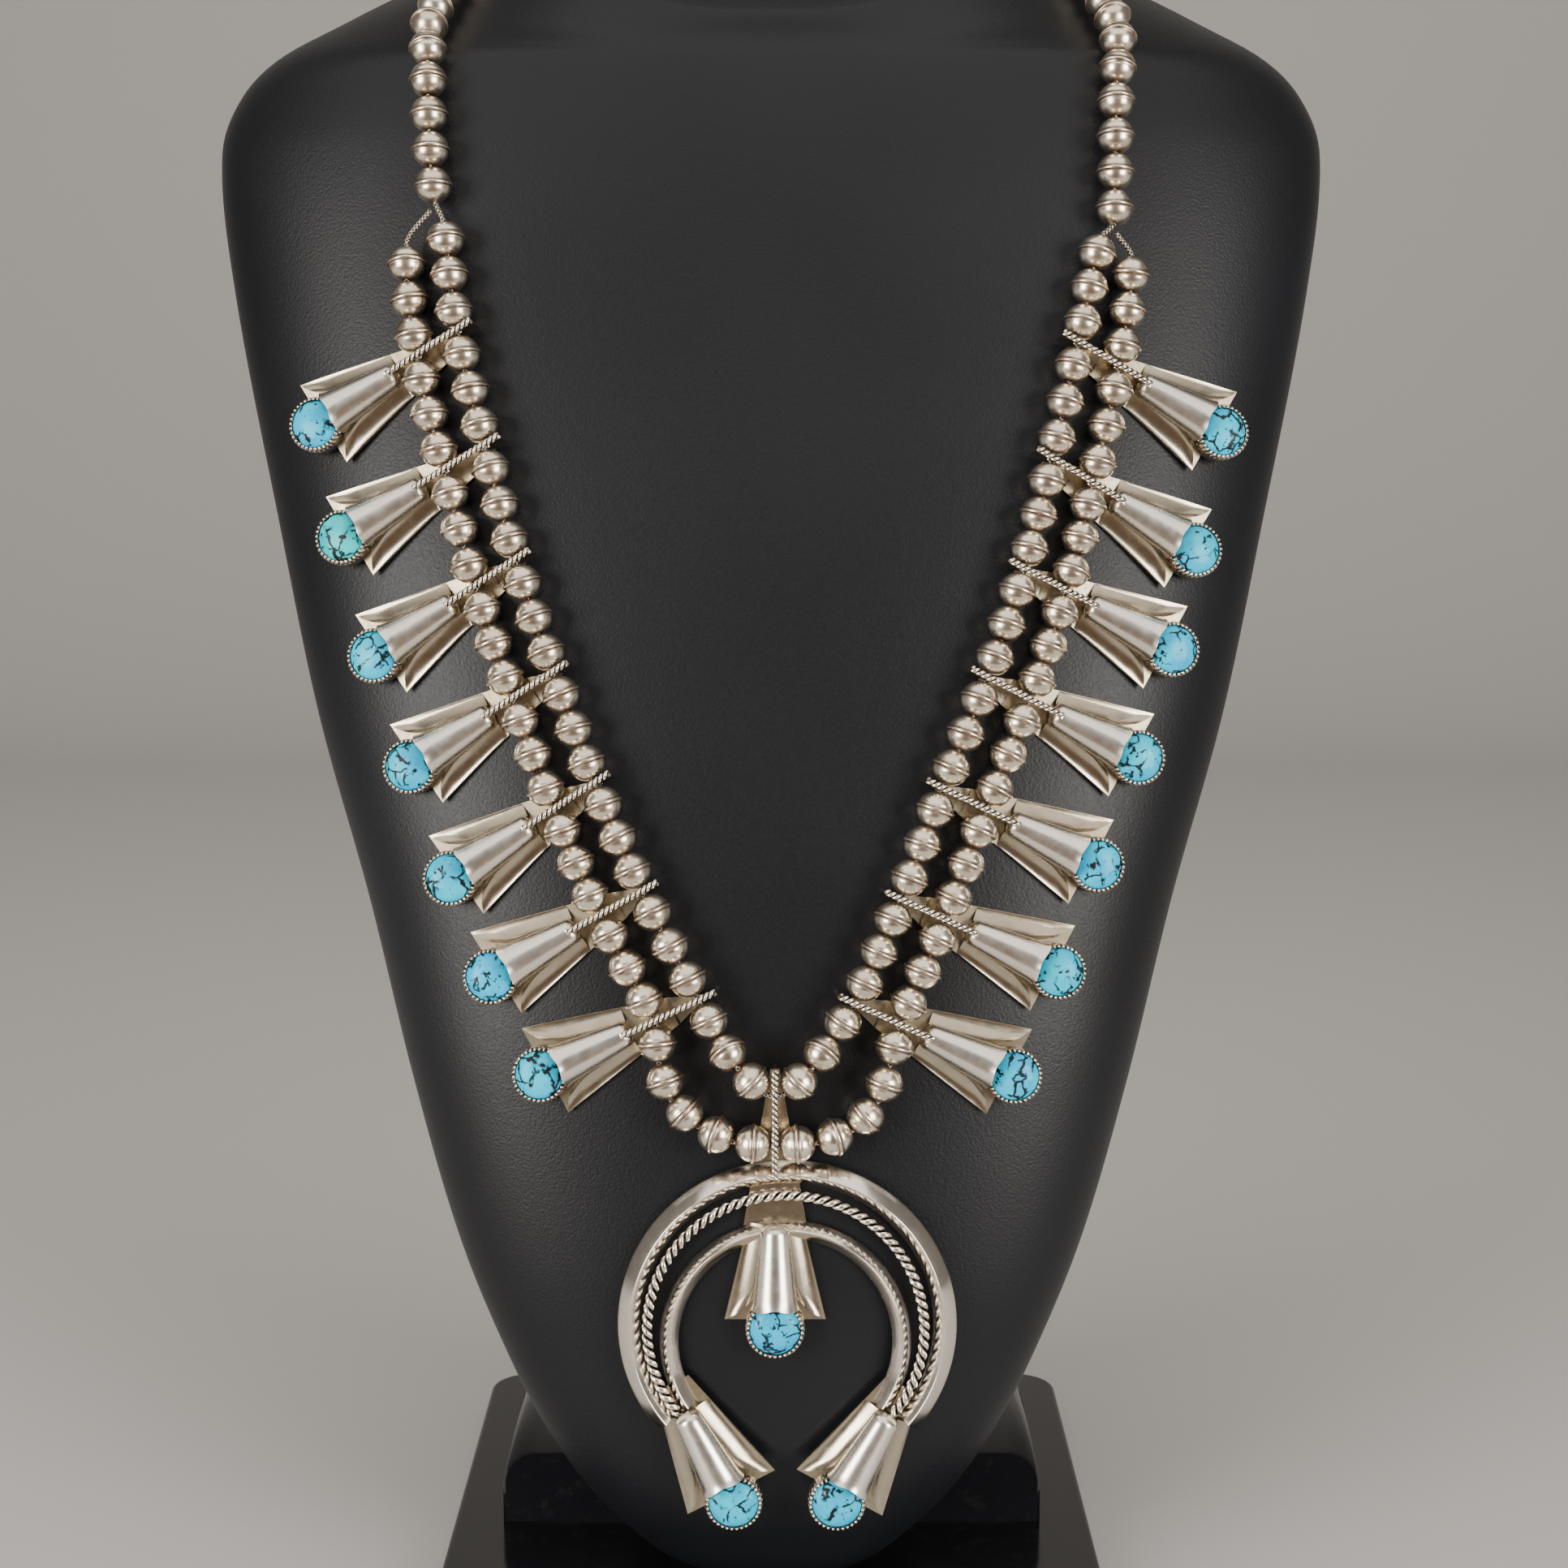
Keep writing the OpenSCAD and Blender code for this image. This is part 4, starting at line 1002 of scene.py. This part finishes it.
def front_petal(mouth=17.2, mouth_dip=0.85, height=3.1, girth=2.7, top_turn=152.0, thick=0.45,
                rows=26, cols=33):
    """Half cone from its closed top to a flared mouth. The angle is measured from the top
    of the cone, so the mouth's edge can dip there to clear the bezel."""
    u = np.linspace(0, 1, rows)[:, None]
    swing = np.linspace(-1, 1, cols)[None, :]
    end = mouth - mouth_dip * np.exp(-(swing * 140 / 30) ** 2) - 0.35 * np.abs(swing) ** 3
    x = 0.05 + (end - 0.05) * u
    bud = np.sqrt(np.clip(1 - (1 - clamp(x / 1.3)) ** 2, 0.015, 1))
    middle = height + 0.8 * x / 17
    radius = (girth + 2.0 * x / 17) * bud
    limit = np.degrees(np.arccos(np.clip(-(middle - 0.75) / np.maximum(radius, 0.3), -1, 1)))
    a = np.radians(swing * np.minimum(limit, top_turn))
    outer = radius + 0.28 * clamp((u - 0.9) / 0.1) ** 2
    inner = np.maximum(outer - thick, 0.12)
    walls = [grid(x, r * np.sin(a), np.maximum(middle + r * np.cos(a), 0.55)) for r in (outer, inner)]
    # painted shade: the cone darkens towards its lower flanks, and its inside towards the closed top
    flank_shade = 0.85 * clamp(np.abs(swing) * 1.8 - 1.0) ** 2
    inside_shade = np.clip((1 - u) * 1.6, 0.35, 1)
    return shell(*walls, flank_shade, inside_shade)


def petal_rim(v, tip, start=(13.6, 4.15), bulge=2.2):
    """The rim as a quadratic curve from the cone's mouth to the tip, pulled out towards
    the stone by the bulge."""
    tip, start = np.array(tip) - (0.05, 0.12), np.array(start)
    chord = unit(tip - start)
    pull = (tip + start) / 2 + bulge * np.array([chord[1], -chord[0]])
    v = v[..., None]
    return (1 - v) ** 2 * start + 2 * v * (1 - v) * pull + v**2 * tip


def side_petal(tip, thick=0.35, low=0.86, high=2.3, inner_y=2.3, rows=30, cols=20):
    """Petal from the cone's flank to the plate's edge. Across, it falls steeply from the
    flank and then runs out flat. Its rim bulges towards the stone and curls up."""
    u, v = np.linspace(0, 1, rows)[:, None], np.linspace(0, 1, cols)[None, :]
    outer_y = PLATE_HALF + 0.4 * (tip[1] - PLATE_HALF) / tip[0] - 0.1
    top = np.stack(np.broadcast_arrays(0.4, inner_y + (outer_y - inner_y) * v), -1)
    x, y = np.moveaxis(top + (petal_rim(v, tip) - top) * u[..., None], -1, 0)
    flank = high + 1.25 * clamp(x / 14)
    lift = 0.35 + 0.75 * np.sin(math.pi * clamp(v * 1.05)) ** 0.7
    curl = clamp((u - 0.84) / 0.16) ** 2 * lift * np.clip(1.15 - v, 0.12, 1)
    z = low + (flank - low) * (1 - v) ** 1.5 + curl
    z = z + 0.12 * np.sin(math.pi * u) * np.sin(math.pi * v)
    z = z + 0.40 * v**6 * np.sin(math.pi * clamp(u * 1.02)) ** 0.5
    # painted shade in the crease along the cone and towards the cone's top; the underside is in full
    # painted shade
    crease = clamp(1 - v / 0.22) ** 1.5
    dark = clamp(0.9 * crease + 0.5 * (1 - u) ** 2 * (1 - v))
    return shell(grid(x, y, z), grid(x, y, z - thick), dark, 1.0)


UPPER_TIP, LOWER_TIP, CRESCENT_TIP = (21.6, 10.6), (20.2, 10.1), (20.6, 10.3)
print("petals of", face_count(front_petal()), "and", face_count(side_petal(UPPER_TIP)), "faces")

# %% Bezel and stone
STONE_X = 21.8              # middle of the stone, measured from where the cone begins


def bezel(teeth=34, per_tooth=6):
    """A cup whose wall leans in a little; its rim is filed into small teeth. The section
    gives radius, height and how far a gap between two teeth cuts into that point."""
    turn = full_turn(teeth * per_tooth)[None, :]
    gap = 1 - clamp(0.6 + 1.1 * np.cos(turn * teeth))
    radius, height, cut = np.array([
        (6.0, 0.25, 0), (6.0, 3.5, 0), (5.98, 3.85, 0.5), (5.88, 4.30, 1.0), (5.60, 4.55, 1.0),
        (5.30, 4.57, 1.0), (5.18, 4.40, 0.8), (5.38, 3.9, 0.2), (5.40, 1.3, 0)]).T[:, :, None]
    radius = radius - 0.16 * cut * gap * (radius > 5.7)
    height = height - 0.70 * cut * gap
    # painted shade at the foot of the wall and in the gaps between the teeth
    dark = clamp(1 - (height - 0.25) / 1.6) * 0.8 + (cut > 0.25) * gap
    return capped(grid(STONE_X + radius * np.cos(turn), radius * np.sin(turn), height), painted_shade=dark)


def cabochon(dome=2.3, rows=26, around=44):
    """A polished domed stone: the dome is steep at its shoulder and flatter on top."""
    share = np.sin(quarter_turn(rows))[:0:-1]
    radius = np.concatenate([[5.3, 5.3], 5.2 * share])[:, None]
    height = np.concatenate([[1.5, 3.3], 3.4 + dome * np.sqrt(np.maximum(1 - share**2.7, 0))])[:, None]
    turn = full_turn(around)[None, :]
    points = grid(STONE_X + radius * np.cos(turn), radius * np.sin(turn), height)
    cap = part(np.concatenate([points[-1], [(STONE_X, 0.0, 3.4 + dome)]]),
               [[k, (k + 1) % around, around] for k in range(around)])
    return [surface(points, closed_cols=True), cap, lid(points[0], flip=True)]


print("bezel of", face_count(bezel()), "faces, stone of", face_count(cabochon()))


# %% Turquoise
def turquoise_material(name):
    """Sky-blue stone. Slow noise shifts it towards green, a web of dark veins and small
    pits of the mother rock cross it, and a clear polish lies over all."""
    material, tree = new_material(name, {
        "Specular IOR Level": 0.16, "Coat Weight": 0.06, "Coat Roughness": 0.08})
    coords = object_place(tree)
    tone = add_node(tree, "ShaderNodeAttribute", attribute_name="tone").outputs["Fac"]
    cloud = add_ramp(tree, add_noise(tree, coords, 190.0, 4.0, 0.55), 0.34, 0.66)
    blue = add_mix(tree, cloud, (0.0, 0.38, 0.78, 1), (0.0, 0.58, 0.90, 1))
    green = add_mix(tree, cloud, (0.0, 0.46, 0.50, 1), (0.01, 0.66, 0.60, 1))
    warp = add_noise(tree, coords, 500.0, output="Color")
    bent = add_math(tree, "MULTIPLY_ADD", warp, (0.0022,) * 3, coords, kind="ShaderNodeVectorMath")
    web = add_node(tree, "ShaderNodeTexVoronoi", feature="DISTANCE_TO_EDGE", Scale=260.0, Vector=bent)
    thin = add_math(tree, "SUBTRACT", 1.0, add_ramp(tree, web.outputs["Distance"], 0.035, 0.085))
    where = add_ramp(tree, add_noise(tree, coords, 230.0, 2.0), 0.46, 0.52)
    pits = add_ramp(tree, add_noise(tree, coords, 480.0, 3.0, 0.65), 0.60, 0.64)
    rock = add_math(tree, "MAXIMUM", add_math(tree, "MULTIPLY", thin, where), pits)
    colour = add_mix(tree, rock, add_mix(tree, tone, green, blue), (0.012, 0.010, 0.008, 1))
    rough = add_math(tree, "MULTIPLY_ADD", rock, 0.3, 0.22)
    relief = add_math(tree, "SUBTRACT", add_noise(tree, coords, 300.0, 2.0), rock)
    finish_shader(tree, colour, rough, relief, 0.4, 0.00003)
    return material


turquoise = turquoise_material("turquoise")
print("material", turquoise.name)

# %% Put a blossom together
SHEET = (0.25, 0.75)        # lower and upper face of the back plate
METAL = silvers[:BEAD]


def plate_at(tip, back):
    """Half width of the plate at x = -back, for a petal whose tip is given."""
    return PLATE_HALF - (tip[1] - PLATE_HALF) * back / tip[0]


def flower(tip, far_tip, back=10.0):
    """Plate, petals and bezel: one petal ends at tip, the other at the mirror image of
    far_tip, and the plate is cut off at x = -back."""
    outline = [(-back, -plate_at(far_tip, back)), (far_tip[0], -far_tip[1]), tip,
               (-back, plate_at(tip, back))]
    # the plate takes an even painted shade of 0.7, for the petals' shadow and reflection on it
    sheet = slab(outline, *SHEET, painted_shade=0.7) + side_petal(tip) + mirrored(side_petal(far_tip))
    return finished(sheet, SHADED_SHEET) + finished(front_petal(), CONE) + bezel()


def blossom(tip, far_tip, start, end=17, wide=9.5):
    """A flower on its shank, with the plate drawn out to a point behind it."""
    outline = [(-end, -0.5), (-wide, -plate_at(far_tip, wide)), (-wide, plate_at(tip, wide)), (-end, 0.5)]
    # the drawn-out point takes a lighter even painted shade
    taper = finished(slab(outline, *SHEET, painted_shade=0.3), SHADED_SHEET)
    return taper + flower(tip, far_tip) + shank(SHANK_LENGTH, HOLES, start)


def build_stone(name, parts, node, tone):
    """A turquoise of its own tone, from 0 for green to 1 for blue."""
    build_piece(f"cabochon_{name}", parts, [turquoise], [node], tone)


print("a flower has", face_count(flower(UPPER_TIP, LOWER_TIP)), "faces")

# %% Set the fourteen blossoms on the bust
# x and z of each one, droop of its axis in degrees, and tone of its stone
BLOSSOMS = {
    "left": [(-79.9, 280.9, 29.3, 0.75), (-73.7, 256.8, 29.3, 0.25), (-66.8, 232.4, 31.6, 0.85),
             (-58.8, 209.1, 31.8, 0.8), (-50.0, 186.0, 32.8, 0.7), (-40.6, 164.5, 29.6, 0.9),
             (-29.3, 143.0, 25.9, 0.8)],
    "right": [(79.0, 278.8, 27.7, 0.8), (73.0, 254.1, 29.2, 0.7), (67.3, 232.0, 26.0, 0.85),
              (59.6, 209.3, 26.6, 0.75), (50.4, 186.6, 25.8, 0.8), (41.8, 164.0, 25.0, 0.7),
              (32.3, 142.4, 25.3, 0.85)]}


def blossom_frame(x, z, droop):
    """Origin, axis, side and outward normal of a blossom on the bust's tangent plane."""
    n = front_normal(x, z)
    way = np.array([math.copysign(math.cos(math.radians(droop)), x), 0, -math.sin(math.radians(droop))])
    axis = unit(way - (way @ n) * n)
    return np.array([x, front_y(x, z), z]), axis, np.cross(n, axis), n


for side, rows in BLOSSOMS.items():
    tips = (LOWER_TIP, UPPER_TIP) if side == "left" else (UPPER_TIP, LOWER_TIP)
    for k, (x, z, droop, tone) in enumerate(rows, 1):
        place = blossom_frame(x, z, droop)
        metal = placed(blossom(*tips, start=rng.uniform(0, 3)), *place)
        build_piece(f"silver_blossom_{side}_{k}", metal, METAL, [f"blossom_{side}_{k}"])
        build_stone(f"{side}_{k}", placed(cabochon(), *place), f"stone_{side}_{k}", tone)

# %% [markdown]
# ## The crescent
#
# The pendant is two bars bent to a crescent and filed to a ridge, with a rope between
# them. Three more blossoms sit on it: one in the middle and one on each end. Its shank
# carries both strands on a long back plate.

# %% Bars, rope and plate of the crescent
LEAN = math.radians(2)
CRESCENT_FRAME = (np.array([3.7, -45.4 + MIDDLE_Y, 79.5]), (1, 0, 0), (0, math.sin(LEAN), math.cos(LEAN)),
                  (0, -math.cos(LEAN), math.sin(LEAN)))
SHIFT = -2.6                # the middle flower and the shank sit this far to one side
ROOT_Y = 36                 # where the shank begins
# middle x and y, outer radius, width, how far in the ridge is, height, and how many degrees
# the ends lie below the middle
BARS = [(0, 0, 36.5, 5.1, 2.7, 3.2, 39.5), (-0.4, -3.8, 27.1, 4.1, 1.8, 2.8, 34)]
# x, y, turn in degrees, scale, where the plate is cut off, and tone of the stone
CRESCENT_FLOWERS = {
    "centre": (SHIFT, STONE_X * 1.06, -90, 1.06, 0.5, 0.85),
    "left": (-22.1, -18.7, -62.3, 1.04, 6.0, 0.75),
    "right": (21.9, -19.1, -119.5, 1.04, 6.0, 0.8)}


def bar(x, y, radius, width, ridge, high, below, low=0.45, steps=110):
    """Bar bent to an arc. Both flanks rise to a ridge, along 0.74 t + 0.26 (1 - (1 - t)^2.2)
    of the height at a share t of their width."""
    top = radius - ridge
    t = np.array([0, 0.03, 0.12, 0.26, 0.42, 0.60, 0.78, 0.90, 0.96])
    rise = low + 0.3 + (high - 0.3) * (0.74 * t + 0.26 * (1 - (1 - t) ** 2.2))
    inner, outer = [np.column_stack([r + (top - r) * t, rise]) for r in (radius - width, radius)]
    r, z = np.concatenate([[(radius - width, low)], inner, [(top, low + high - 0.03)], outer[::-1],
                           [(radius, low)]]).T
    turn = np.radians(np.linspace(-below, 180 + below, steps))[:, None]
    dent = 0.05 * np.sin(9 * turn) + 0.03 * np.sin(23 * turn + 1)
    points = grid(x + r * np.cos(turn), y + r * np.sin(turn), z + dent * (z > low + 1))
    # painted shade on the lowest 0.9 mm of the bar
    return capped(points, flip=True, painted_shade=clamp(1 - (z - low) / 0.9))


def back_plate(low, high=56.4, meet=62, slope=0.174):
    """The plate under the shank. Its long sides would meet at y = meet."""
    half_low, half_high = slope * (meet - low - 1), slope * (meet - high)
    outline = [(SHIFT - half_low, low), (SHIFT + half_low, low), (SHIFT + half_high, high),
               (SHIFT - half_high, high)]
    # the plate takes a light even painted shade
    return finished(slab(outline, *SHEET, painted_shade=0.25), SHADED_SHEET)


def crescent_rope(x=-0.3, y=-0.8, radius=29.8, height=1.7):
    """The rope between the two bars."""
    turn = np.radians(np.linspace(-39, 219, 400))
    return rope(grid(x + radius * np.cos(turn), y + radius * np.sin(turn), height), (0, 0, 1), 1.2, 2.2)


def crescent_parts():
    """Everything that is soldered into the pendant."""
    parts = finished(bar(*BARS[0]) + bar(*BARS[1]), BAND) + crescent_rope()
    parts += back_plate(low=CRESCENT_FLOWERS["centre"][1] - 1)
    for x, y, degrees, scale, back, _ in CRESCENT_FLOWERS.values():
        parts += turned(flower(CRESCENT_TIP, CRESCENT_TIP, back), x, y, degrees, scale)
    holes = [y - ROOT_Y for y in (41.6, 51.2)]
    return parts + turned(shank(21.6, holes), SHIFT, ROOT_Y, -90)


build_piece("silver_crescent", placed(crescent_parts(), *CRESCENT_FRAME), METAL, ["naja"])
for name, (x, y, degrees, scale, _, tone) in CRESCENT_FLOWERS.items():
    stone = turned(cabochon(), x, y, degrees, scale)
    build_stone(f"naja_{name}", placed(stone, *CRESCENT_FRAME), f"naja_stone_{name}", tone)


# %% The clasp at the nape
def barrel(middle, axis, half=7.5, radius=3.2, hole=0.9, around=40):
    """A turned barrel with a bead line at each end and a screw joint in the middle. The
    second half of its section mirrors the first."""
    section = np.array([
        (-half, hole), (-half, 2.3), (0.4 - half, 2.8), (0.9 - half, 2.9), (1.2 - half, 2.6),
        (1.6 - half, 2.6), (2.2 - half, 3.15), (-0.4, radius), (-0.25, 2.85)])
    along, out = np.concatenate([section, (section * (-1, 1))[::-1]]).T[:, :, None]
    side = unit(np.cross(axis, (0.1, 0.2, 1.0)))
    points = revolved(middle, axis, side, along, out, full_turn(around)[None, :])
    return [surface(points, closed_rows=True, closed_cols=True)]


build_piece("barrel_clasp", barrel(clasp_middle, clasp_axis), [silvers[STRIP]], ["clasp"])
